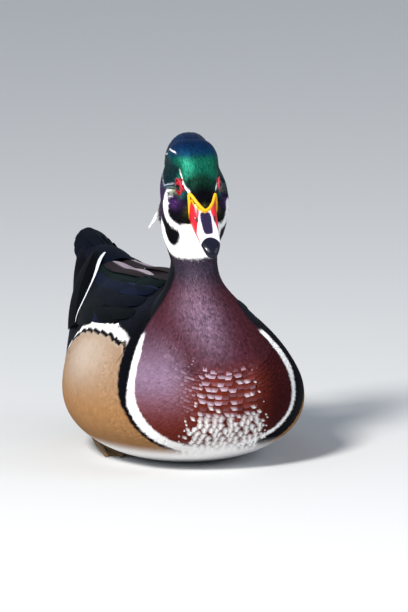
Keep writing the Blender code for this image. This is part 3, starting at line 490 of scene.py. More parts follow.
def body_colour(points):
    """Colour and gloss on the neck, breast, flanks, back and belly."""
    side, along, up = points[..., 0], points[..., 1] + BREAST_TO_ORIGIN, points[..., 2]
    width = np.abs(side)
    # painted highlights: lilac where the light falls on the neck's right front and on the right shoulder
    neck_highlight = np.exp(-((up - 98 + 0.2 * side) / 22) ** 2) * np.exp(-((side + 10) / 13) ** 2)
    shoulder = np.exp(-((up - 66) / 19) ** 2) * smooth(22, 40, width)
    flank = smooth(-0.6, 0.6, along - np.interp(up, BAR_HEIGHTS, BLACK_BACK)) * (width > 8)
    flank_depth = -within(FLANK_EDGE, along, up)
    rim = flank * smooth(56, 64, up)
    rim_in = rim_depth(along, up)
    vent = smooth(0.5, -0.5, flank_depth) * smooth(160, 175, along)
    back = back_share(side, along, up, flank_depth)
    painted_sheen = 0.10 * (0.5 + 0.5 * np.sin(along * 0.11 + side * 0.09))
    white_bar, black_bar = flank_bars(side, along, up)
    colour = paint(
        side.shape, PLUM,
        # the neck is plum and the breast chestnut; the lilac down the neck's right front and on the right
        # shoulder is painted highlight, and the dark wine over the left side is painted shade
        (SLATE_PLUM, smooth(112, 130, up)),
        (HIGHLIGHT_LILAC, neck_highlight * smooth(70, 40, along) * 0.5),
        (CHESTNUT, smooth(78, 60, up + 0.3 * np.clip(-side - 8, 0, 60))),
        (HIGHLIGHT_LILAC, shoulder * np.where(side < 0, 0.65, 0.05)),
        # painted shade: dark wine over the breast's left side, away from the light
        (SHADED_WINE, smooth(12, 34, side) * 0.9),
        # the lowest breast pales to white under the bird
        (WHITE, smooth(24, 12, up + 0.05 * width) * smooth(120, 60, along)),
        # along its top the flank ends in white and a thin black line
        (flank_colour(side.shape, along, up), flank),
        (INK, rim * smooth(7.0, 6.4, rim_in)),
        (WHITE, rim * smooth(5.0, 4.4, rim_in)),
        # behind the legs: black under the tail, with a maroon patch at the side of the rump
        (INK, vent),
        (PLUM, vent * smooth(30, 40, up) * smooth(226, 214, along) * smooth(66, 60, up)),
        (BROWN, vent * smooth(26, 12, up) * smooth(190, 215, along)),
        (WHITE, smooth(14, 6, up) * smooth(215, 190, along)),
        # back and rump black, with a painted blue sheen of slate in slow bands
        (paint(side.shape, INK, (SHEEN_SLATE, painted_sheen)), back),
        (INK, black_bar),
        (WHITE, white_bar))
    gloss = 0.30 * smooth(70, 100, up) + 0.05
    for value, share in ((0.03, flank), (0.35, back), (0.1, np.clip(white_bar + black_bar, 0, 1))):
        gloss = gloss * (1 - share) + value * share
    return colour, gloss


def plumage(points):
    """Colour and gloss of the coat at points of the bird."""
    on_head, head_gloss = head_colour(points)
    on_body, body_gloss = body_colour(points)
    forward, up, _ = head_coordinates(points)
    # the throat ends in a sharp curved edge, and so does the black of the nape
    share = smooth(-0.6, 0.6, up - np.interp(forward, *HEAD_FOOT))
    return mix(on_body, on_head, share), body_gloss * (1 - share) + head_gloss * share


print("white throat and tan flank:", np.round(plumage(BODY.at(24.0, 0.5)[0][None])[0], 2),
      np.round(plumage(BODY.at(9.0, 0.25)[0][None])[0], 2))

# %% [markdown]
# A contour feather is a thin curved blade: narrow at its root, rounded at its tip and a little
# raised along its shaft. Made as a closed blade with few faces it can be repeated thousands of
# times. The blades are computed all together, then joined into a few meshes, each with a colour
# for every point, its place on its own vane, and a small patch of the coat's map for baking.

# %% Blades and meshes
GROUND = 0.25                                    # nothing of the coat goes below this height
FLAT_TOP = math.radians(70)                      # edges sharper than this keep a vane's top flat
BRIGHTEST, PALE, UNDERSIDE = 0.88, 0.45, -0.12   # pale colours all keep the same tone


def cross_section(count):
    """Places across a blade (-1 to 1) and heights (top 1, underside -1) of its ring of points."""
    top = np.linspace(-1, 1, count)
    under = top[-2:0:-1]
    return (np.concatenate([top, under]),
            np.concatenate([1 - top**2, -(1 - np.abs(under))]),
            np.concatenate([np.ones(count, bool), np.zeros(count - 2, bool)]))


def new_piece(name, points, face_sets, material, tint, vane=None, patch=None):
    """One joined mesh from arrays: points in millimetres, sets of faces with equal corners."""
    mesh = bpy.data.meshes.new(name)
    mesh.vertices.add(len(points))
    mesh.vertices.foreach_set("co", (np.asarray(points, np.float32) * MM).ravel())
    corners = np.concatenate([faces.ravel() for faces in face_sets]).astype(np.int32)
    sizes = np.concatenate([np.full(len(faces), faces.shape[1]) for faces in face_sets])
    mesh.loops.add(len(corners))
    mesh.loops.foreach_set("vertex_index", corners)
    mesh.polygons.add(len(sizes))
    mesh.polygons.foreach_set("loop_start", np.concatenate([[0], np.cumsum(sizes)[:-1]]).astype(np.int32))
    mesh.update(calc_edges=True)
    mesh.shade_smooth()
    if vane is not None:
        mesh.set_sharp_from_angle(angle=FLAT_TOP)
    for label, values in (("tint", tint), ("vane", vane)):
        if values is None:
            continue
        layer = mesh.color_attributes.new(label, "FLOAT_COLOR", "POINT")
        layer.data.foreach_set("color", np.asarray(values, np.float32).ravel())
    if patch is not None:
        layer = mesh.uv_layers.new(name="OFBake")
        layer.data.foreach_set("uv", np.clip(patch, 0, 1)[corners].astype(np.float32).ravel())
    mesh.materials.append(material)
    obj = bpy.data.objects.new(name, mesh)
    bpy.context.scene.collection.objects.link(obj)
    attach(obj, "root")
    print(f"{name}: {int((sizes - 2).sum())} triangles")
    return obj


def blade_faces(blades, stations, ring):
    """Sides and end caps of closed blades whose points are numbered blade, station, ring."""
    start = np.arange(blades)[:, None, None] * stations * ring
    i = np.arange(stations - 1)[None, :, None] * ring
    j = np.arange(ring)[None, None, :]
    k = (j + 1) % ring
    quads = np.stack(np.broadcast_arrays(start + i + j, start + i + k, start + i + ring + k,
                                         start + i + ring + j), -1).reshape(-1, 4)
    first = (start[:, 0] + np.arange(ring)[None, ::-1])
    last = (start[:, 0] + (stations - 1) * ring + np.arange(ring)[None])
    return [quads, first, last]


def blade_patch(u, v, across, along, size=0.003):
    """The small patch of the coat's map that each blade is baked on."""
    return np.stack([u + (across - 0.5) * size, v + (along - 0.5) * size], -1)

# %% [markdown]
# All the feathers of a part are laid at once. Arrays hold where each one starts, and the blades
# are bent along the surface from there, which is much faster than making them one by one.

# %% Laying feathers


def coat(surface, place, turn, length, width, root_lift, tip_lift, seed, stations=4,
         tip_share=0.35, arch=0.12, tone=0.18):
    """Feathers that lie along a surface towards its low-numbered end. Everything may be an array."""
    draw = np.random.default_rng(seed)
    count = len(place)
    t = np.array([0, 0.38, 0.78, 1.0]) if stations == 4 else np.linspace(0, 1, stations)
    u, h, _ = cross_section(3)
    length, width = np.broadcast_to(length, count), np.broadcast_to(width, count)
    at = np.zeros((count, stations))
    at[:, 0] = place
    for k in range(1, stations):
        at[:, k] = at[:, k - 1] - (t[k] - t[k - 1]) * length / sample(surface.step_along, at[:, k - 1], turn)
    round_step = sample(surface.step_around, place, turn)
    drift = draw.normal(0, 0.05, count) * length / round_step
    half = width[:, None] / 2 * np.interp(t, [0, 0.3, 0.75, 1], [0.55, 1, 0.95, tip_share])
    across = (turn[:, None] + drift[:, None] * t)[..., None] + u * (half / round_step[:, None])[..., None]
    lift = (root_lift * (1 - t) ** 1.3 + (tip_lift * draw.uniform(0.7, 1.3, count))[:, None] * t)
    height = lift[..., None] + h * (half * arch * 2)[..., None] + np.where(h < 0, UNDERSIDE, 0)
    points, _ = surface.at(np.clip(at, 0, surface.last)[..., None], across, height)
    points[..., 2] = np.maximum(points[..., 2], GROUND)
    return {"points": points, "at": np.broadcast_to(at[..., None], across.shape),
            "t": np.broadcast_to(t[None, :, None], across.shape),
            "u": np.broadcast_to((u / 2 + 0.5)[None, None], across.shape), "last": surface.last,
            "root": (place, turn), "random": draw.random(count), "tone": 1 + draw.normal(0, tone, count)}


def blade_piece(name, blades, tint, patch_at, material):
    """Joins blades into one mesh, with their colours, places on the vane and patches of the map."""
    points, t, u = blades["points"], blades["t"], blades["u"]
    vane = np.stack([t, u, np.broadcast_to(blades["random"][:, None, None], t.shape), 0 * t], -1)
    across, along = (row[:, None, None] for row in patch_at)
    return new_piece(name, points.reshape(-1, 3), blade_faces(*points.shape[:3]), material,
                     tint.reshape(-1, 4), vane.reshape(-1, 4),
                     blade_patch(across, along, u, t).reshape(-1, 2))


def coat_piece(name, feathers, material, colours=None):
    """Joins feathers into one mesh, coloured from the map of colours."""
    colour, gloss = colours(feathers) if colours else plumage(feathers["points"])
    tone = np.clip(feathers["tone"], 0.5, 1.6)[:, None, None] - 1
    tone = 1 + tone * (colour.max(-1) < PALE)
    tint = np.concatenate([np.clip(colour * tone[..., None], 0, BRIGHTEST), gloss[..., None]], -1)
    place, turn = feathers["root"]
    return blade_piece(name, feathers, tint, (turn % 1.0, place / feathers["last"]), material)


def rows(surface, first, last, step, across, seed):
    """Places and turns of feathers in rows, each row half a step round from the one before."""
    draw = np.random.default_rng(seed)
    places, turns = [], []
    round_once = np.linspace(0, 1, 257)
    at, number = first, 0
    while at < last:
        pace = np.percentile(sample(surface.step_along, at, np.linspace(0, 1, 33)), 80)
        measure = sample(surface.step_around, at, round_once)
        travelled = np.concatenate([[0], np.cumsum((measure[1:] + measure[:-1]) / 2 * np.diff(round_once))])
        count = max(int(travelled[-1] / across), 3)
        marks = (np.arange(count) + 0.5 * (number % 2) + draw.normal(0, 0.1, count)) / count * travelled[-1]
        turn = np.interp(marks % travelled[-1], travelled, round_once)
        here = at + draw.normal(0, 0.12, count) * step / pace
        # where the rows crowd together, as inside a bend, fewer feathers are kept
        local = sample(surface.step_along, here, turn)
        kept = draw.random(count) < np.clip(local / pace * 1.25, 0.25, 1)
        places.append(here[kept])
        turns.append(turn[kept])
        at += step / pace
        number += 1
    return np.concatenate(places), np.concatenate(turns)


# %% [markdown]
# Feathers shine in two ways. Plain ones scatter light like cloth. The black, green and purple
# ones hold stacked plates that send back one colour strongly, so they look like tinted metal.
# One material does both: the gloss kept with each point's colour sets how metallic it is.

# %% Materials


def wired(tree, kind, inputs, **settings):
    """A new shader node, each input linked to the output or set to the value that is given."""
    made = tree.nodes.new(kind)
    for key, value in settings.items():
        setattr(made, key, value)
    for key, value in inputs.items():
        if isinstance(value, bpy.types.NodeSocket):
            tree.links.new(value, made.inputs[key])
        else:
            made.inputs[key].default_value = value
    return made.outputs


def times(tree, first, second):
    return wired(tree, "ShaderNodeMath", {0: first, 1: second}, operation="MULTIPLY")[0]


def ranged(tree, value, *ends):
    """A value moved from one range to another: its ends before, then after."""
    labels = ("Value", "From Min", "From Max", "To Min", "To Max")
    return wired(tree, "ShaderNodeMapRange", dict(zip(labels, (value, *ends))))["Result"]


def new_material(name, specular):
    made = bpy.data.materials.new(name)
    made.use_nodes = True
    shader = made.node_tree.nodes["Principled BSDF"].inputs
    shader["Specular IOR Level"].default_value = specular
    return made, made.node_tree, shader


def attribute(tree, label):
    return wired(tree, "ShaderNodeAttribute", {}, attribute_name=label)


STREAK_SCALES = (2.5, 7.0, 90.0)                 # along a vane, across it, and from one to the next
BARBS = 900.0                                    # of the fine dark lines of the flank
DULL = (0.7, 0.42)                               # roughness of plain and of glossy feathers
PLAIN_SPECULAR, COAT_ROUGHNESS = 0.25, 0.08


def feather_material(name, streak, roughness=DULL, metal=0.5, speckle=0.0, specular=0.02):
    """Plumage: the point's colour, fine streaks along each vane, and gloss where it is kept."""
    made, tree, shader = new_material(name, specular)
    tint = attribute(tree, "tint")
    # streaks: fine noise that is stretched along the vane, different on every feather
    parts = wired(tree, "ShaderNodeSeparateColor", {"Color": attribute(tree, "vane")["Color"]})
    axes = {axis: times(tree, parts[channel], scale)
            for axis, channel, scale in zip("XYZ", ("Red", "Green", "Blue"), STREAK_SCALES)}
    noise = wired(tree, "ShaderNodeTexNoise", {
        "Vector": wired(tree, "ShaderNodeCombineXYZ", axes)["Vector"],
        "Scale": 1.0, "Detail": 2.0, "Roughness": 0.6})
    shade = ranged(tree, noise["Fac"], 0.3, 0.7, 1 - streak, 1 + streak)
    # white feathers stay clean: their streaks fade with their gloss
    share = ranged(tree, tint["Alpha"], 0.0, 0.25, 0.12, 1.0)
    value = wired(tree, "ShaderNodeMix", {"Factor": share, "A": 1.0, "B": shade})["Result"]
    if speckle:
        # vermiculation: broken dark lines across the lie of the flank, finer than a millimetre
        where = wired(tree, "ShaderNodeTexCoord", {})["Object"]
        fine = wired(tree, "ShaderNodeTexWave", {
            "Vector": where, "Scale": BARBS, "Distortion": 6.0, "Detail": 2.0, "Detail Scale": 2.0},
            bands_direction="DIAGONAL")
        value = times(tree, value, ranged(tree, fine["Fac"], 0.1, 0.6, 1 - speckle, 1.05))
    scaled = wired(tree, "ShaderNodeVectorMath", {0: tint["Color"], "Scale": value}, operation="SCALE")
    for label, output in (("Base Color", scaled["Vector"]),
                          ("Roughness", ranged(tree, tint["Alpha"], 0.0, 1.0, *roughness)),
                          ("Metallic", times(tree, tint["Alpha"], metal))):
        tree.links.new(output, shader[label])
    return made


def plain_material(name, colour=None, roughness=0.4, coat=0.0):
    """A plain or point-coloured material."""
    made, tree, shader = new_material(name, PLAIN_SPECULAR)
    shader["Roughness"].default_value = roughness
    shader["Coat Weight"].default_value = coat
    shader["Coat Roughness"].default_value = COAT_ROUGHNESS
    if colour is None:
        tree.links.new(attribute(tree, "tint")["Color"], shader["Base Color"])
    else:
        shader["Base Color"].default_value = (*colour, 1)
    return made


HEAD_FEATHERS = feather_material("head_feathers", 0.55, (0.7, 0.36), 0.7, specular=0.1)
NECK_FEATHERS = feather_material("neck_feathers", 0.4, specular=0.1)
BODY_FEATHERS = feather_material("body_feathers", 0.12, (0.62, 0.36), 0.55, speckle=0.08)
DARK_FEATHERS = feather_material("dark_feathers", 0.3)
SKIN_MATERIAL = plain_material("skin", roughness=0.7)
print("materials:", len(bpy.data.materials))

# %% [markdown]
# Under the feathers lies the skin. It is one closed surface from the bill's root to the tail, and
# it lies inside the solids by the depth of the coat, so that the feathers fill the true outline.

# %% The skin and the crest's core
CREST_OUTER = ((-22, 23.9), (-52, 28.4), (-71, 4), (-71.5, -52))
CREST_INNER = ((-30, -12), (-40, -20), (-54, -28), (-70.3, -57))
CREST_HALF_WIDTH = (13.0, 15.5, 10.5, 5.2, 1.6)
CREST_SWING = -17.0


def bezier(points, t):
    t = np.asarray(t, float)[..., None]
    a, b, c, d = (np.asarray(p, float) for p in points)
    return a * (1 - t) ** 3 + 3 * b * t * (1 - t) ** 2 + 3 * c * t**2 * (1 - t) + d * t**3


def crest_grid(count=100, around=64):
    """Rings of the crest from its tip, number 0, to its root in the crown."""
    t = np.linspace(1, 0, count)
    outer, inner = bezier(CREST_OUTER, t), bezier(CREST_INNER, t)
    angle = ring_angles(around)
    middle, reach = (outer + inner) / 2, (outer - inner) / 2
    profile = middle[:, None] + np.cos(angle)[None, :, None] * reach[:, None]
    half = np.interp(t, np.linspace(0, 1, 5), CREST_HALF_WIDTH)
    left = -np.sign(np.sin(angle)) * np.abs(np.sin(angle)) ** 0.9 * half[:, None]
    left = left + CREST_SWING * (t**5)[:, None]
    return head_points(np.stack([left, -profile[..., 0], profile[..., 1]], -1))


CREST = Surface(crest_grid())


def tube_faces(count, around):
    """Faces of a closed tube: its sides, and a fan over each end."""
    i, j = np.meshgrid(np.arange(count - 1), np.arange(around), indexing="ij")
    k = (j + 1) % around
    quads = np.stack([i * around + j, i * around + k, (i + 1) * around + k, (i + 1) * around + j], -1)
    j = np.arange(around)
    k = (j + 1) % around
    first = np.stack([np.full(around, count * around), k, j], -1)
    last = np.stack([np.full(around, count * around + 1), (count - 1) * around + j,
                     (count - 1) * around + k], -1)
    return [quads.reshape(-1, 4), np.concatenate([first, last])]


def tube_points(rings):
    """The points, or the colours, of a tube's rings and of the middle of each end."""
    return np.vstack([rings.reshape(-1, rings.shape[-1]), rings[0].mean(0), rings[-1].mean(0)])


def tube_map(count, around):
    v, u = np.meshgrid(np.linspace(0, 1, count), (np.arange(around) + 0.5) / around, indexing="ij")
    return np.vstack([np.stack([u, v], -1).reshape(-1, 2), [0.5, 0], [0.5, 1]])


def outwards(obj):
    mesh = bmesh.new()
    mesh.from_mesh(obj.data)
    if mesh.calc_volume(signed=True) < 0:
        bmesh.ops.reverse_faces(mesh, faces=mesh.faces)
    mesh.to_mesh(obj.data)
    mesh.free()


def tube_piece(name, rings, material, colour, gloss=1.0):
    """A closed tube; its colour is given for every point, or for the points of the rings."""
    points = tube_points(rings)
    colour = tube_points(colour) if colour.ndim == 3 else colour
    tint = np.column_stack([colour, np.broadcast_to(gloss, len(points))])
    shape = rings.shape[:2]
    piece = new_piece(name, points, tube_faces(*shape), material, tint, None, tube_map(*shape))
    outwards(piece)
    return piece


COAT_DEPTH = ([0, 1, 14, 19, 22, 29, 31, 32], [0.8, 2.0, 2.0, 1.3, 0.9, 0.8, 0.5, 0.5])
CREST_DEPTH, CREST_CORE = 1.2, slice(26, 96)
# the skin under coloured feathers is darkened as painted shade in the gaps between them
SKIN_GROUND, COAT_SHADE = 0.4, 0.6               # lowest skin, and how dark it is under coloured feathers


def make_skin():
    places = np.arange(len(BODY.grid)) / PER_PLACE
    inner = BODY.grid - BODY.normals * np.interp(places, *COAT_DEPTH)[:, None, None]
    low = inner[:NECK_END * PER_PLACE]
    low[..., 2] = np.maximum(low[..., 2], SKIN_GROUND)
    colour, gloss = plumage(tube_points(inner))
    # painted shade: under all but pale feathers the skin takes their colour darkened, and so does the
    # crest's core
    under = np.where(colour.max(-1) > 0.4, 1.0, COAT_SHADE)[:, None]
    skin = tube_piece("skin", inner, SKIN_MATERIAL, colour * under, gloss)
    inner = (CREST.grid - CREST.normals * CREST_DEPTH)[CREST_CORE]
    colour, gloss = head_colour(tube_points(inner))
    return skin, tube_piece("crest_core", inner, SKIN_MATERIAL, colour * COAT_SHADE, gloss)


def unite(obj, other):
    """Joins two closed meshes into one surface."""
    modifier = obj.modifiers.new("join", "BOOLEAN")
    modifier.operation, modifier.solver, modifier.object = "UNION", "EXACT", other
    graph = bpy.context.evaluated_depsgraph_get()
    finished = bpy.data.meshes.new_from_object(obj.evaluated_get(graph))
    obj.modifiers.remove(modifier)
    obj.data = finished
    bpy.data.objects.remove(other, do_unlink=True)


skin, core = make_skin()
unite(skin, core)
print("skin joined:", len(skin.data.polygons), "faces")
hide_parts("torso", "neck", "head", "crest")

# %% [markdown]
# The coat is laid in rows, each feather half covering the two behind it, as slates do. They are
# hair-fine on the face, small on the neck, and broad and soft over the flanks. White arrowheads
# mark the chestnut of the lower breast, one to a feather, and grow until they meet as white.

# %% The coat of the head and neck


LID_CLEARANCE = 5.4


def clear_of_eyes(surface, place, turn, reach):
    """Which feathers start and end outside the lids."""
    kept = np.ones(len(place), bool)
    for share in (0.0, 0.5, 1.0):
        at = place - share * reach / sample(surface.step_along, place, turn)
        points, _ = surface.at(np.clip(at, 0, surface.last), turn)
        for side in (1, -1):
            centre, outward, _, _ = eye_axes(side)
            height, radius = eye_distances(points, centre, outward)
            kept &= (radius > LID_CLEARANCE) | (height < 0)
    return kept


def half_coats(name, place, turn, length, width, material, slot, **look):
    """Feathers all round, as one piece for the right side and one for the left."""
    for label, chosen in (("right", turn < 0.5), ("left", turn >= 0.5)):
        feathers = coat(BODY, place[chosen], turn[chosen], length[chosen], width[chosen], **look)
        coat_piece(f"{name}_{label}", feathers, material)


def head_coat():
    place, turn = rows(BODY, first=19.6, last=31.6, step=1.15, across=0.95, seed=11)
    length = np.interp(place, [19, 24, 28, 31.6], [7.0, 6.0, 4.0, 2.2])
    kept = clear_of_eyes(BODY, place, turn, length)
    forward, up, left = head_coordinates(BODY.at(place, turn)[0])
    kept &= ~((forward > 12.5) & (np.abs(left) < 6) & (up < -12) & (up > -20))    # nor inside the bill
    place, turn, length = place[kept], turn[kept], length[kept]
    width = np.interp(place, [19, 24, 31.6], [1.5, 1.25, 0.8])
    half_coats("coat_head", place, turn, length, width, HEAD_FEATHERS, "head_plumage",
               root_lift=-0.9, tip_lift=0.1, seed=21, tip_share=0.45, tone=0.22, arch=0.06)


def neck_coat():
    place, turn = rows(BODY, first=15.1, last=20.4, step=1.7, across=1.5, seed=12)
    length, width = (np.interp(place, [15, 20], ends) for ends in ([8.5, 6.0], [2.8, 1.6]))
    half_coats("coat_neck", place, turn, length, width, NECK_FEATHERS, "maroon_plumage",
               root_lift=-1.2, tip_lift=0.15, seed=22, tip_share=0.4, tone=0.2)


head_coat()
neck_coat()

# %% [markdown]
# The body's feathers are larger. Those of the lower breast are the broadest, as each one carries
# its own white mark, and the shoulder's beside them are the finest.

# %% The coat of the body


def arrow_zone(roots):
    """The part of the lower breast whose feathers carry white arrowheads."""
    across, along, up = roots[:, 0] + 2, roots[:, 1] + BREAST_TO_ORIGIN, roots[:, 2]
    wide = np.interp(up, [40, 70], [25, 14])
    return smooth(wide + 5, wide - 5, np.abs(across)) * smooth(60, 40, along) * (up < 82)


ARROW_TOP, ARROW_GROWTH = 80, 42                 # where the marks start, and the height they grow over


def arrow_marks(feathers):
    """White arrowheads near the tips of the breast's feathers, larger towards its foot."""
    place, turn = feathers["root"]
    roots, _ = BODY.at(place, turn)
    size = np.clip((ARROW_TOP - roots[:, 2]) / ARROW_GROWTH, 0, 1) * arrow_zone(roots)
    spread = np.abs(feathers["u"] - 0.5) * 2
    t = feathers["t"]
    half = ((0.05 + 0.55 * size) * (0.7 + 0.6 * (feathers["random"] * 7 % 1.0)))[:, None, None]
    long = (0.05 + 0.24 * size)[:, None, None]
    wedge = np.clip((t - 0.98 + long) / long, 0, 1)
    mark = smooth(0.10, -0.10, spread - half * wedge) * (wedge > 0)
    shown = smooth(0.03, 0.10, size) * (feathers["random"] < 0.22 + 0.78 * size)
    return mark * shown[:, None, None]


def body_colours(feathers):
    points = feathers["points"]
    colour, gloss = plumage(points)
    colour = mix(colour, WHITE, arrow_marks(feathers))
    # painted highlights: pale lilac tips on some feathers of the upper breast, most on its right front
    place, turn = feathers["root"]
    roots, _ = BODY.at(place, turn)
    pale = smooth(38, 62, roots[:, 2]) * smooth(40, 30, roots[:, 1] + BREAST_TO_ORIGIN) * (place > 12)
    edge_highlight = pale * (0.2 + 0.8 * (feathers["random"] < 0.45)) * smooth(30, 5, np.abs(roots[:, 0] + 8))
    edge = smooth(0.75, 0.98, feathers["t"]) * edge_highlight[:, None, None]
    return mix(colour, HIGHLIGHT_EDGE_LILAC, edge * 0.85), gloss


# Name, first and last section, steps along and across, length, width, tip's lift, tone and arch.
SPANS = (("rump", 0.4, 5.0, 3.6, 3.4, 13.0, 6.0, 0.08, 0.035, 0.012),
         ("loin", 4.8, 8.0, 3.6, 3.3, 14.0, 6.5, 0.08, 0.035, 0.012),
         ("flank", 7.8, 11.2, 3.6, 3.3, 14.0, 6.5, 0.08, 0.035, 0.012),
         ("shoulder", 11.0, 15.6, 2.4, 2.3, 7.5, 3.6, 0.12, 0.07, 0.03),
         ("breast", 11.0, 15.4, 4.2, 4.4, 12.0, 6.6, 0.25, 0.14, 0.05))


def body_coat():
    for number, (label, first, last, step, across, *shape) in enumerate(SPANS):
        length, width, lift, tone, arch = shape
        place, turn = rows(BODY, first, last, step, across, 30 + number)
        points, _ = BODY.at(place, turn)
        kept = (points[:, 2] > 1.5) | (np.random.default_rng(5).random(len(place)) < 0.3)
        if label in ("shoulder", "breast"):
            kept &= (arrow_zone(points) > 0.4) == (label == "breast")
        feathers = coat(BODY, place[kept], turn[kept], length, width, root_lift=-1.6, tip_lift=lift,
                        seed=40 + number, stations=5, tip_share=0.45, tone=tone, arch=arch)
        coat_piece("coat_" + label, feathers, BODY_FEATHERS, body_colours)


body_coat()

# %% [markdown]
# The crest is a sheaf of long narrow feathers that start on the crown and hang behind the nape.
# All but one thin lock end before its tip, and that lock is white.

# %% The coat of the crest


CREST_REST_END, LOCK_TURN, LOCK_HALF = 2.7, 0.25, 0.035


def in_lock(turn):
    """The one thin lock, on the right side, that goes on white to the tip."""
    return np.abs(turn % 1.0 - LOCK_TURN) < LOCK_HALF


def crest_colours(feathers):
    colour, gloss = head_colour(feathers["points"])
    tip = smooth(4.0, 2.6, feathers["at"])
    streak = in_lock(feathers["root"][1])[:, None, None] * smooth(1.05, 0.75, feathers["at"])
    colour = mix(mix(colour, MAUVE, tip * 0.8), WHITE, streak)
    return colour, gloss * (1 - 0.9 * np.maximum(streak, tip * 0.5))


def crest_coat():
    place, turn = rows(CREST, first=0.6, last=9.6, step=1.3, across=1.1, seed=13)
    kept = (place > CREST_REST_END) | in_lock(turn)
    place, turn = place[kept], turn[kept]
    length = np.interp(place, [0, 3, 9.6], [9.0, 18.0, 15.0])
    feathers = coat(CREST, place, turn, length, width=1.5, root_lift=-1.1, tip_lift=0.2, seed=23,
                    stations=5, tip_share=0.25, tone=0.25)
    coat_piece("coat_crest", feathers, HEAD_FEATHERS, crest_colours)


crest_coat()

# %% [markdown]
# The large feathers of the wing and tail are made one by one, each along its own path. A folded
# wing is a pile of these: scapulars over the back, tertials and the blue bar beside them, and the
# long primaries, edged with silver, that cross over the rump.

# %% Large vanes
VANE_STATIONS, VANE_BRIGHTEST = 16, 0.86


def path_directions(path, hint):
    along = unit(np.gradient(path, axis=0))
    across = unit(np.cross(along, hint))
    return across, unit(np.cross(across, along))


def through(places, count):
    """Evenly numbered points of a smooth line through a few places."""
    return catmull(np.array(places, float), np.linspace(0, len(places) - 1, count))


def surface_route(route, count):
    """A smooth path over the body through a few (section, turn, lift) places."""
    return BODY.at(*through(route, count).T)


def vane(path, hint, width, root_share=0.5, tip_share=0.25, arch=0.10, thick=0.3, ring=9):
    """One long closed vane: arrays of its points, its shares along and across."""
    across, out = path_directions(path, hint)
    count = len(path)
    t = np.linspace(0, 1, count)
    swell = root_share + (1 - root_share) * np.sin(np.minimum(t / 0.45, 1) * np.pi / 2)
    fall = np.clip((t - 0.7) / 0.3, 0, 1)
    half = width / 2 * swell * np.sqrt(np.maximum(1 - (1 - tip_share**2) * fall**2.4, 0))
    u, h, top = cross_section(ring)
    height = np.where(h >= 0, h * arch * width, h * thick + (1 - u**2) * arch * width * (~top))
    points = (path[:, None] + across[:, None] * (u * half[:, None])[..., None]
              + out[:, None] * (height[None] * (0.4 + 0.6 * swell[:, None]))[..., None])
    shape = points.shape[:2]
    return {"points": points, "t": np.broadcast_to(t[:, None], shape),
            "u": np.broadcast_to((u / 2 + 0.5)[None], shape)}


def shades(made, base, edge=None, edge_from=0.8, gloss=0.5):
    """Colours one vane: a base, and one edge that may be brighter."""
    colour = paint(made["t"].shape, base)
    if edge is not None:
        colour = mix(colour, edge, smooth(edge_from - 0.04, edge_from + 0.04, made["u"]))
    return {**made, "colour": colour, "gloss": np.full(made["t"].shape, gloss)}


def vane_piece(name, vanes, material):
    """Joins large vanes into one mesh."""
    joined = {key: np.array([made[key] for made in vanes]) for key in vanes[0]}
    points = joined["points"]
    points[..., 2] = np.maximum(points[..., 2], GROUND)
    joined["random"] = np.random.default_rng(len(name)).random(len(vanes))
    tint = np.concatenate([np.clip(joined["colour"], 0, VANE_BRIGHTEST), joined["gloss"][..., None]], -1)
    first = points[:, 0, 0]
    patch = [np.clip((first[:, axis] + start) / size, 0.01, 0.99)
             for axis, start, size in ((0, 60, 120), (1, 130, 340))]
    return blade_piece(name, joined, tint, patch, material)

# %% [markdown]
# Each folded wing is laid in layers from the back outwards. The silver edge is a vane of its own,
# since it stands clear of the dark primary that it belongs to.

# %% The folded wings
PRIMARY_ROOT, PRIMARY_TIP = (-43.0, 200.0, 74.0), (-5.0, 267.0, 112.5)
# Places (side, behind the breast, up) along the silver edge of the outermost primary.
SILVER_EDGE = ((-42.1, 211.8, 75.4), (-37.3, 222.3, 80.1), (-28.9, 232.0, 89.1), (-17.4, 249.9, 98.7),
               (-7.0, 271.9, 105.8), (0.8, 284.9, 108.9))
# Colours of the folded wing from the middle of the back down to the flank, and of their edges.
WING_LOOKS = [(0.015, 0.010, 0.012), (0.002, 0.006, 0.006), (0.003, 0.005, 0.016), (0.002, 0.003, 0.006),
              (0.002, 0.003, 0.004)]
WING_EDGES = [(0.16, 0.12, 0.13), (0.006, 0.016, 0.014), (0.012, 0.018, 0.06), None, None]
TERTIAL_REFLECTION, WING_BLUE, PRIMARY_BLACK, SILVER = ((0.34, 0.28, 0.33), (0.003, 0.008, 0.03),
                                                  (0.004, 0.005, 0.007), (0.66, 0.70, 0.76))
SILVER_FORWARD, SILVER_SIDE = (14.0, 18.0), (1.3, 0.0)     # how far it stands out, at root and tip


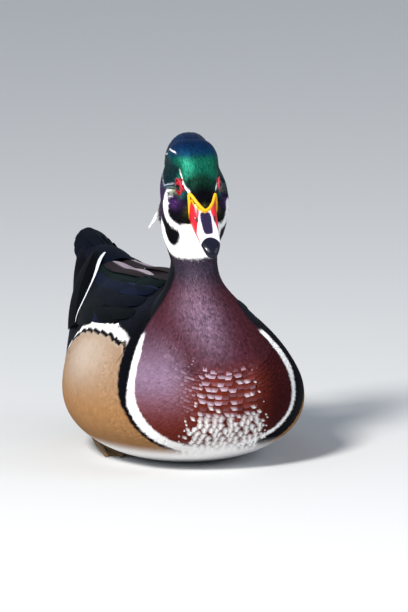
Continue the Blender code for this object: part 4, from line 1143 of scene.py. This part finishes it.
def cover_vanes(side):
    """Scapulars, tertials and the blue bar of one wing, laid over its surface."""
    draw = np.random.default_rng(60)
    vanes = []

    def over(route, width, base, tip_share=0.25, arch=0.10, **look):
        points, normals = surface_route(route, VANE_STATIONS)
        made = vane(points, normals, width, tip_share=tip_share, arch=arch)
        vanes.append(shades(made, np.array(base) * draw.uniform(0.75, 1.25), **look))

    for tier in range(5):                                   # scapulars, from the mantle back
        for n in range(5):
            turn = side * (0.020 + 0.023 * n + 0.004 * (tier % 2))
            start = 13.2 - 0.95 * tier - 0.28 * n
            route = [(start, turn, 0.2), (start - 1.0, turn - side * 0.001, 1.2),
                     (start - 3.0, turn - side * 0.005, 1.1 + 0.1 * tier)]
            over(route, 12 - 0.6 * n, WING_LOOKS[n], tip_share=0.35, arch=0.06,
                 edge=WING_EDGES[n], edge_from=0.86, gloss=0.45)
    for n in range(6):                                      # tertials
        route = [(9.4 - 0.15 * n, side * (0.030 + 0.018 * n), 1.0),
                 (7.0 - 0.1 * n, side * (0.030 + 0.019 * n), 1.9 - 0.1 * n),
                 (4.4 + 0.1 * n, side * (0.026 + 0.021 * n), 2.0 - 0.1 * n)]
        # the innermost tertial's pale lilac half is a painted reflection on its glossy vane
        over(route, 15, WING_LOOKS[min(n, 4)], tip_share=0.3, arch=0.07,
             edge=None if n else TERTIAL_REFLECTION, edge_from=0.55, gloss=0.45)
    for n in range(8):                                      # the blue bar
        route = [(place - 0.5 * n, side * turn, lift)
                 for place, turn, lift in ((10.2, 0.118, 0.3), (9.2, 0.116, 1.1), (8.0, 0.112, 1.2))]
        over(route, 9, WING_BLUE, arch=0.06, gloss=0.6)
    return vanes


def primary_vanes(side):
    """The primaries of one wing, one over another."""
    root, tip = np.array(PRIMARY_ROOT), np.array(PRIMARY_TIP)
    bulge = np.array([-5.5, 4, 2.2])
    t = np.linspace(0, 1, 60)
    longest = bezier([root, root * 0.75 + tip * 0.25 + bulge * 0.5, root * 0.35 + tip * 0.65 + bulge, tip],
                     t)
    longest = (longest - (0, BREAST_TO_ORIGIN, 0)) * (side, 1, 1)
    vanes = []
    for n in range(8):
        reach = np.linspace(0, 1 - 0.05 * (7 - n), VANE_STATIONS)
        path = np.column_stack([np.interp(reach, t, longest[:, c]) for c in range(3)])
        across, out = path_directions(path, (-0.75 * side, 0.0, 0.66))
        path = path + out * (0.62 * n) - across * side * 0.75 * n
        if side < 0:                                        # the left wing's tips lie under the right's
            path[:, 2] -= 1.0 + 5.0 * reach
        made = vane(path, out, 8.5, root_share=0.7, tip_share=0.2, arch=0.06, thick=0.25)
        if side < 0:
            made["u"] = 1 - made["u"]
        vanes.append(shades(made, PRIMARY_BLACK, gloss=0.3))
    return vanes


def silver_vane(side):
    """The silver edge of the outermost primary, a hair wide at first and broader towards the tip."""
    share = np.linspace(0, 1, VANE_STATIONS)[:, None]
    forward, aside = (low + (high - low) * share for low, high in (SILVER_FORWARD, SILVER_SIDE))
    path = through(SILVER_EDGE, VANE_STATIONS) - (0, BREAST_TO_ORIGIN, 0) + forward * (-0.28, -0.947, 0.156)
    path = (path - aside * (1, 0, 0)) * (side, 1, 1)
    if side < 0:
        path[:, 2] -= 3.5 * share[:, 0]
    made = vane(path, np.array((-0.6 * side, -0.45, 0.66)), 3.4, root_share=0.3, tip_share=0.1,
                arch=0.04, thick=0.1)
    slim = np.interp(share, [0, 0.5, 0.72, 0.88, 1], [0.2, 0.28, 0.8, 1.0, 0.9])[..., None]
    made["points"] = path[:, None] + (made["points"] - path[:, None]) * slim
    return shades(made, SILVER, gloss=0.02)


for name, side in (("wing_right", 1), ("wing_left", -1)):
    vanes = [*cover_vanes(side), *primary_vanes(side), silver_vane(side)]
    piece = vane_piece(name + "_feathers", vanes, DARK_FEATHERS)
    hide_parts(name)

# %% [markdown]
# Each flank ends above in a row of white plumes edged with black, which lie over the folded wing.
# They are laid over the surface like the wing's feathers, and coloured by how deep they lie.

# %% The flank's plumes
FLANK_PLUMES, PLUME_WHITE, PLUME_BLACK = 20, 4.5, 7.0


def flank_place(along, up, side):
    """Section number and share of a turn of a point of the flank, seen from the side."""
    grid = BODY.grid[40:150]
    gap = np.hypot(grid[..., 1] + BREAST_TO_ORIGIN - along, grid[..., 2] - up)
    gap = np.where(-grid[..., 0] > 25, gap, 1e9)
    row, column = np.unravel_index(np.argmin(gap), gap.shape)
    return (row + 40) / PER_PLACE, side * column / ANGLES


def plume_colour(spots):
    """White at the tip, a black line, and then the colours of the flank."""
    back = rim_depth(spots[..., 1] + BREAST_TO_ORIGIN, spots[..., 2])
    # the plume's band below its black line takes the pale tan of the flank's painted light
    return paint(back.shape, TAN, (PALE_LIT_TAN, 0.85 + 0 * back),
                 (plumage(spots)[0], smooth(PLUME_BLACK, PLUME_BLACK + 2, back)),
                 (INK, smooth(PLUME_BLACK + 0.3, PLUME_BLACK - 0.3, back)),
                 (WHITE, smooth(PLUME_WHITE + 0.3, PLUME_WHITE - 0.3, back)))


def flank_plumes():
    """White plumes edged with black, whose tips make the curved top of each flank."""
    arc = np.array(FLANK_EDGE[1:11], float)
    steps = np.concatenate([[0], np.cumsum(np.linalg.norm(np.diff(arc, axis=0), axis=1))])
    vanes = []
    for side in (1, -1):
        for n in range(FLANK_PLUMES):
            share = (n + 0.9) / FLANK_PLUMES
            tip = np.array([np.interp(share * steps[-1], steps, arc[:, c]) for c in (0, 1)])
            tip = tip + np.array((2.6, -3.4)) * np.interp(share, [0.05, 0.42], [1, 0])
            lean, drop = (np.interp(share, [0, 0.25, 0.6, 1], ends)
                          for ends in ([3, -5, -12, -19], [-17, -18, -15, -5]))
            route = []
            for k, lift in ((1.0, -1.4), (0.66, 0.1), (0.33, 0.5), (0.0, 0.4)):
                place = tip + (lean * k, drop * k + 2.5 * math.sin(math.pi * k))
                route.append(flank_place(*place, side) + (lift,))
            points, normals = surface_route(route, 32)
            made = vane(points, normals, np.interp(share, [0, 0.25], [4.5, 9.5]), root_share=0.6,
                        tip_share=0.35, arch=0.015, thick=0.12)
            colour = plume_colour(made["points"])
            vanes.append({**made, "colour": colour, "gloss": np.full(colour.shape[:2], 0.03)})
    return vane_piece("flank_plumes", vanes, BODY_FEATHERS)


flank_plumes()

# %% [markdown]
# The tail is an arch of stiff feathers, with three rows of short coverts over their roots. Its
# feathers share one helper, which bends each from its root towards its tip.

# %% The tail
TAIL_ROOT, TAIL_TOP, TAIL_ARCH, TAIL_SWING, TAIL_SPREAD = (268.0, 108.0), 117.4, 13.4, 1.4, 1.15
TAIL_FAN = (5, 19, 33, 48, 64, 80)               # degrees from the middle pair to the outermost
TAIL_BLACK, COVERT_BLACK = (0.002, 0.004, 0.009), (0.002, 0.004, 0.010)


def tail_vane(root, tip, lift, spoke, width, tip_share, arch, thick, base):
    path = bezier([root, root * 0.66 + tip * 0.34 + lift, root * 0.3 + tip * 0.7 + lift, tip],
                  np.linspace(0, 1, VANE_STATIONS))
    path[:, 1] -= BREAST_TO_ORIGIN
    made = vane(path, spoke, width, tip_share=tip_share, arch=arch, thick=thick)
    return shades(made, base, gloss=0.4)


def tail_vanes():
    """Tail feathers in an arch, the middle pair on top, and the coverts over their roots."""
    vanes = []
    for n, angle in enumerate(np.radians(TAIL_FAN)):
        for side in (1, -1):
            arch = TAIL_ARCH - 0.55 * (n + (1 if n or side < 0 else 0))
            spoke = np.array([side * math.sin(angle) * TAIL_SPREAD, 0, math.cos(angle)])
            root = np.array([0, TAIL_ROOT[0], TAIL_ROOT[1] - TAIL_ARCH]) + arch * spoke + (0, 0, -0.5)
            tip = np.array([TAIL_SWING, TAIL_TIP - 2.8 * n**1.25, TAIL_TOP - TAIL_ARCH]) + arch * spoke
            vanes.append(tail_vane(root, tip, 0, spoke, 15, 0.45, 0.07, 0.3, TAIL_BLACK))
    for row in range(3):
        for n in range(9 - row):
            angle = math.radians((n - (8 - row) / 2) * 17)
            arch = TAIL_ARCH + 1.0 + 0.4 * row
            spoke = np.array([math.sin(angle), 0, math.cos(angle)])
            root = np.array([0, 262 - 7 * row, TAIL_ROOT[1] - TAIL_ARCH]) + arch * spoke * 0.93
            tip = root + (0, 34, 3.0) + spoke * 0.7
            vanes.append(tail_vane(root, tip, spoke, spoke, 11, 0.4, 0.08, 0.25, COVERT_BLACK))
    piece = vane_piece("tail_feathers", vanes, DARK_FEATHERS)
    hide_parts("tail")


tail_vanes()

# %% [markdown]
# The bill is horn over bone: a broad flat hook with a hard nail at its tip. A yellow line parts
# it from the face, its sides are red, and a white patch with a black saddle lies along its top.

# %% The bill
# Distance forward of the eye, height of the top and of the underside, half width, roundness above.
UPPER_BILL = [
    (2, 4.6, -18.4, 9.2, 3.4),
    (9, 1.0, -18.8, 9.1, 3.2),
    (13, -3.8, -19.4, 8.8, 3.1),
    (18.4, -9.9, -20.5, 8.5, 2.8),
    (25, -15.0, -22.0, 7.9, 2.5),
    (32, -19.0, -23.4, 7.2, 2.4),
    (38.5, -21.9, -25.0, 6.5, 2.3),
    (43, -24.3, -27.6, 5.2, 2.2),
    (45.8, -26.9, -30.4, 3.3, 2.1),
    (46.9, -29.0, -31.0, 1.4, 2.0),
]
LOWER_BILL = [
    (4, -19.0, -24.6, 7.8), (12, -19.6, -25.2, 7.6), (20, -21.2, -25.9, 7.1), (28, -23.0, -26.9, 6.4),
    (35, -24.5, -28.0, 5.7), (40, -26.2, -29.2, 4.6), (43.2, -28.3, -30.4, 2.6),
]
NOSTRIL_AT, NOSTRIL_SIZE = (21.5, -14.2), (2.2, 0.7)
# (forward, up, left) of the yellow edge, from the right corner of the mouth over the top to the left one
YELLOW_EDGE = [(11.3, -16.8, -8.3), (10.9, -11, -8.6), (9.8, -5.5, -8.8), (8.4, -1.2, -8.7),
               (10.6, -2.2, -6.9), (14.6, -5.3, -4.4), (17.6, -8.5, -1.2), (18.1, -9.3, 0.7),
               (16.7, -8.2, 3.4), (13.4, -5.4, 6.0), (9.0, -1.9, 8.5), (10.0, -6.5, 9.0),
               (10.9, -11, 8.9), (11.2, -16.2, 8.6)]
BILL_RED, BILL_YELLOW, BILL_WHITE = (0.62, 0.014, 0.024), (0.84, 0.42, 0.01), (0.86, 0.82, 0.86)
BILL_LILAC, SADDLE = (0.50, 0.42, 0.62), (0.016, 0.010, 0.040)
NAIL, NOSTRIL_SHADE = (0.003, 0.004, 0.013), (0.10, 0.01, 0.015)
RED_FROM = ([10, 18.5, 22.6, 27, 30], [0.34, 0.46, 0.64, 0.85, 1.0])     # share of the half width


def bill_rings(table, upper, stations=120, around=96):
    rings = []
    for forward, top, bottom, half_width, *above in through(table, stations):
        shape = (0.22, above[0], 5.0) if upper else (0.8, 5.0, 2.2)
        ring = section_ring((0, top), (0, bottom), half_width, *shape, around)
        ring[:, 1] = -forward
        rings.append(ring)
    return np.array(rings)


def across_table(forward, column, table=UPPER_BILL):
    table = np.array(table, float)
    return np.interp(forward, table[:, 0], table[:, column])


def nostril_distance(rings):
    """Distance from the middle of the nostril's slot, 1 at its edge."""
    forward, up = -rings[..., 1], rings[..., 2]
    slope = 0.62 * (forward - NOSTRIL_AT[0])
    return (((forward - NOSTRIL_AT[0]) / NOSTRIL_SIZE[0]) ** 2
            + ((up - NOSTRIL_AT[1] + slope) / NOSTRIL_SIZE[1]) ** 2)


def dent_nostrils(rings):
    """Sinks a slot into each side of the upper bill."""
    left = rings[..., 0]
    depth = 0.9 * smooth(1.2, 0.4, nostril_distance(rings)) * (np.abs(left) > 3)
    rings[..., 0] = left - np.sign(left) * depth
    return rings

# %% [markdown]
# The feathers of the face end in a curved line on the bill. It is found where the grid of the
# bill passes through the face, and the yellow edge is drawn by the distance from it.

# %% Where the face ends, and the colours of the bill
FACE_TREE = BVHTree.FromPolygons(
    [Vector(p) for p in tube_points(BODY.grid[NECK_END * PER_PLACE:])],
    [tuple(map(int, face)) for face in tube_faces(len(BODY.grid) - NECK_END * PER_PLACE, ANGLES)[0]])


def feather_line(points):
    """Distance of the bill's points from the line where the feathers of the face end."""
    depth = np.zeros(points.shape[:2])
    for i, j in np.ndindex(*depth.shape):
        near, normal, _, _ = FACE_TREE.find_nearest(Vector(points[i, j]))
        depth[i, j] = (Vector(points[i, j]) - near).dot(normal)
    crossings = []
    for axis in (0, 1):
        after, there = np.roll(depth, -1, axis), np.roll(points, -1, axis)
        crossed = (depth < 0) != (after < 0)
        if axis == 0:
            crossed[-1] = False
        share = (depth / np.where(depth == after, 1, depth - after))[..., None]
        crossings.append((points * (1 - share) + there * share)[crossed])
    crossings = np.concatenate(crossings)
    tree = KDTree(len(crossings))
    for n, point in enumerate(crossings):
        tree.insert(point, n)
    tree.balance()
    away = np.array([tree.find(Vector(p))[2] for p in points.reshape(-1, 3)]).reshape(depth.shape)
    return np.where(depth < 0, -away, away)


def upper_bill_colour(rings, feathers):
    forward, left, up = -rings[..., 1], rings[..., 0], rings[..., 2]
    side = np.abs(left)
    top, bottom, half = (across_table(forward, column) for column in (1, 2, 3))
    share = (up - bottom) / np.maximum(top - bottom, 0.5)
    # red along both sides, widest at the face, and a thin red lip as far as the nail
    red_from = np.interp(forward, *RED_FROM)
    red = np.maximum(smooth(red_from - 0.04, red_from + 0.04, side / half), smooth(0.52, 0.38, share))
    pale = np.exp(-((forward - 22) / 9) ** 2) * smooth(6.4, 4.4, side) * 0.45
    saddle = ((forward - 26.0) / 7.4) ** 4 + (side / (3.7 - 0.05 * (forward - 20))) ** 4
    ragged = 0.25 * np.sin(5.1 * forward + 2.0 * np.sin(3.7 * left)) * np.sin(4.3 * left + 1.3 * forward)
    nail = forward - (36.1 + 2.6 * (side / 5.5) ** 2)
    wide = np.interp(share, [0.2, 0.6, 1.0], [0.8, 0.9, 0.7])
    return paint(side.shape, BILL_WHITE,
                 (BILL_RED, red * smooth(39, 37, forward)),
                 (BILL_LILAC, pale * (1 - red)),
                 (SADDLE, smooth(1.35, 0.95, saddle + ragged)),
                 (NAIL, smooth(-0.35, 0.35, nail)),
                 # painted shade: the nostril's shallow slot is darkened to stand for its opening
                 (NOSTRIL_SHADE, smooth(1.3, 0.7, nostril_distance(rings))),
                 (BILL_YELLOW, smooth(wide + 0.25, wide - 0.25, feathers)))


def lower_bill_colour(rings, feathers):
    forward, up = -rings[..., 1], rings[..., 2]
    return paint(up.shape, BILL_WHITE,
                 (BILL_RED, smooth(0.9, 0.4, across_table(forward, 1, LOWER_BILL) - up) * 0.8),
                 (BILL_YELLOW, smooth(1.2, 0.8, feathers)),
                 (INK, smooth(36.5, 37.5, forward)))


def make_bill():
    horn = plain_material("horn", roughness=0.30, coat=0.15)
    parts = (("bill_upper", dent_nostrils(bill_rings(UPPER_BILL, True)), upper_bill_colour),
             ("bill_lower", bill_rings(LOWER_BILL, False), lower_bill_colour))
    for name, rings, look in parts:
        placed = head_points(rings)
        piece = tube_piece(name + "_horn", placed, horn, look(rings, feather_line(placed)))
        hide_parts(name)


def make_bill_edge():
    """The raised yellow edge of the face: a V over the top of the bill, and a line down each side."""
    forward, up, left = through(YELLOW_EDGE, 90).T
    path = head_points(np.column_stack([left, -forward, up]))
    outward = unit(path - head_points(np.array([0.0, -6.0, -14.0])))
    along = unit(np.gradient(path, axis=0))
    across = unit(np.cross(along, outward))
    outward = unit(np.cross(across, along))
    share = np.linspace(0, 1, len(path))
    radius = np.clip(np.minimum(share, 1 - share) / 0.05, 0.15, 1)
    b = ring_angles(12)[None, :, None]
    rings = path[:, None] + radius[:, None, None] * (np.cos(b) * across[:, None] * 1.1
                                                     + np.sin(b) * outward[:, None] * 0.8)
    colour = paint(rings.shape[:2], BILL_YELLOW)
    tube_piece("bill_edge", rings, plain_material("bill_edge", roughness=0.45), colour)


make_bill()
make_bill_edge()

# the feet are tucked under the belly: dull ochre webs
web = plain_material("foot_skin", (0.20, 0.12, 0.05), 0.6)
for foot in ("foot_right", "foot_left"):
    for obj in bpy.data.objects:
        if obj.type == "MESH" and (obj.name == foot or obj.name.startswith(foot + ".")):
            obj.data.materials.clear()
            obj.data.materials.append(web)

# %% [markdown]
# A drake's eye is red, in a red fleshy ring that comes to a point above and below. The ball sits
# deep in the head, so that only the front of it shows between the lids.

# %% The eyes and lids
LID_DISTANCE, LID_RADIUS, LID_THICKNESS, LID_LEAN = 4.5, 4.7, 0.5, math.radians(46)
LID_RED, LID_PINK, EYE_RIM = (0.30, 0.003, 0.012), (0.42, 0.05, 0.07), (0.02, 0.004, 0.004)
IRIS, IRIS_BRIGHT, PUPIL = (0.24, 0.002, 0.010), (0.45, 0.006, 0.022), (0.001, 0.001, 0.001)
GAZE = math.radians(14)                          # how far forward of the socket each eye looks


def eye_piece(name, side):
    centre, outward, backward, upward = eye_axes(side)
    angle = np.linspace(0.001, np.pi - 0.001, 60)
    ring = ring_angles(64)[None, :, None]
    height, radius = (values[:, None, None]
                      for values in (np.cos(angle) * (1 + 0.05 * smooth(0.55, 0.2, angle)), np.sin(angle)))
    points = centre + EYE_RADIUS * (height * outward
                                    + radius * (np.cos(ring) * backward + np.sin(ring) * upward))
    gaze = unit(outward * math.cos(GAZE) - backward * math.sin(GAZE))
    off = np.degrees(np.arccos(np.clip(unit(points - centre) @ gaze, -1, 1)))
    colour = paint(off.shape, EYE_RIM, (IRIS, smooth(66, 60, off)),
                   (IRIS_BRIGHT, np.exp(-((off - 32) / 8) ** 2) * 0.7), (PUPIL, smooth(20, 18, off)))
    glass = plain_material("eye_" + name, roughness=0.12, coat=0.3)
    piece = tube_piece("eyeball_" + name, points, glass, colour)
    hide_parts("eye_" + name)


def lid_piece(name, side, flesh):
    """The fleshy ring round the eye, which comes to a point above and below."""
    centre, outward, backward, upward = eye_axes(side)
    around, tube = 96, 16
    a, b = ring_angles(around), ring_angles(tube)
    rear = math.cos(LID_LEAN) * backward - math.sin(LID_LEAN) * upward
    top = math.cos(LID_LEAN) * upward + math.sin(LID_LEAN) * backward
    broad = np.sign(np.sin(a)) * np.abs(np.sin(a)) ** 1.25 * 0.90
    tall = np.cos(a) * (1 + 0.24 * np.cos(a) ** 6)
    spoke = broad[:, None] * rear + tall[:, None] * top
    points = (centre + outward * LID_DISTANCE
              + spoke[:, None] * (LID_RADIUS + LID_THICKNESS * np.cos(b))[None, :, None]
              + outward * (LID_THICKNESS * 1.5 * np.sin(b))[None, :, None])
    i, j = np.meshgrid(np.arange(around), np.arange(tube), indexing="ij")
    k, m = (i + 1) % around, (j + 1) % tube
    quads = np.stack([i * tube + j, i * tube + m, k * tube + m, k * tube + j], -1).reshape(-1, 4)
    uv = np.stack([i / around, j / tube], -1).reshape(-1, 2)
    pale = np.tile((0.5 + 0.5 * np.cos(b)) ** 3, (around, 1))
    tint = np.dstack([paint(pale.shape, LID_RED, (LID_PINK, pale)), np.ones(pale.shape)]).reshape(-1, 4)
    outwards(new_piece("lids_" + name, points.reshape(-1, 3), [quads], flesh, tint, None, uv))


flesh = plain_material("lid_flesh", roughness=0.5)
for name, side in (("right", -1), ("left", 1)):
    eye_piece(name, side)
    lid_piece(name, side, flesh)

# %% [markdown]
# The floor is plain and pale. The camera stands where the photographer stood, low and a little to
# the bird's right, far off with a long lens, and leans by the photograph's own small tilt. The
# light is soft daylight from the upper left with a broad pale sky.

# %% Floor, camera and light
IMAGE_WIDTH, IMAGE_HEIGHT = 408, 612
CAMERA_AZIMUTH, CAMERA_ELEVATION, CAMERA_ROLL = math.radians(-16.5), math.radians(9), math.radians(-2.4)
PIXEL = 0.000645                                  # metres of the bird for one pixel of the picture
ANCHOR, ANCHOR_PIXEL = np.array([0, -0.125, 0.038]), (235, 419)
CAMERA_DISTANCE, SENSOR = 10.0, 36


def add_object(name, data, matrix=Matrix()):
    made = bpy.data.objects.new(name, data)
    made.matrix_world = matrix
    bpy.context.scene.collection.objects.link(made)
    return made


def make_floor():
    mesh = bpy.data.meshes.new("floor")
    mesh.from_pydata([(-6, -6, 0), (6, -6, 0), (6, 6, 0), (-6, 6, 0)], [], [(0, 1, 2, 3)])
    mesh.materials.append(plain_material("pale_floor", (0.62, 0.63, 0.64), 0.8))
    floor = add_object("floor", mesh)


def place_camera():
    away = Vector((math.sin(CAMERA_AZIMUTH) * math.cos(CAMERA_ELEVATION),
                   -math.cos(CAMERA_AZIMUTH) * math.cos(CAMERA_ELEVATION), math.sin(CAMERA_ELEVATION)))
    rotation = away.to_track_quat("Z", "Y").to_matrix() @ Matrix.Rotation(CAMERA_ROLL, 3, "Z")
    right, up = np.array(rotation.col[0]), np.array(rotation.col[1])
    centre = (ANCHOR - right * (ANCHOR_PIXEL[0] - IMAGE_WIDTH / 2) * PIXEL
              + up * (ANCHOR_PIXEL[1] - IMAGE_HEIGHT / 2) * PIXEL)
    data = bpy.data.cameras.new("camera")
    data.sensor_width = SENSOR
    data.lens = SENSOR * CAMERA_DISTANCE / (IMAGE_HEIGHT * PIXEL)
    data.clip_start, data.clip_end = 0.5, 60
    matrix = Matrix.Translation(Vector(centre) + away * CAMERA_DISTANCE) @ rotation.to_4x4()
    bpy.context.scene.camera = add_object("camera", data, matrix)


LIGHT_AIM = Vector((0, -0.03, 0.1))


def make_light(name, place, size, power, colour):
    data = bpy.data.lights.new(name, "AREA")
    data.shape, data.size, data.energy, data.color = "DISK", size, power, colour
    aim = (LIGHT_AIM - Vector(place)).to_track_quat("-Z", "Y").to_matrix()
    add_object(name, data, Matrix.Translation(Vector(place)) @ aim.to_4x4())


def make_world():
    world = bpy.data.worlds.new("sky")
    world.use_nodes = True
    back = world.node_tree.nodes["Background"]
    back.inputs["Color"].default_value = (0.80, 0.88, 1.0, 1)
    back.inputs["Strength"].default_value = 0.45
    bpy.context.scene.world = world
    bpy.context.scene.view_settings.view_transform = "Standard"


make_floor()
place_camera()
make_world()
make_light("key", (-1.6, -1.5, 2.0), size=0.7, power=130, colour=(1.0, 0.97, 0.92))
make_light("fill", (1.8, -1.6, 1.1), size=1.6, power=14, colour=(0.88, 0.93, 1.0))
print("camera lens:", round(bpy.context.scene.camera.data.lens, 1))
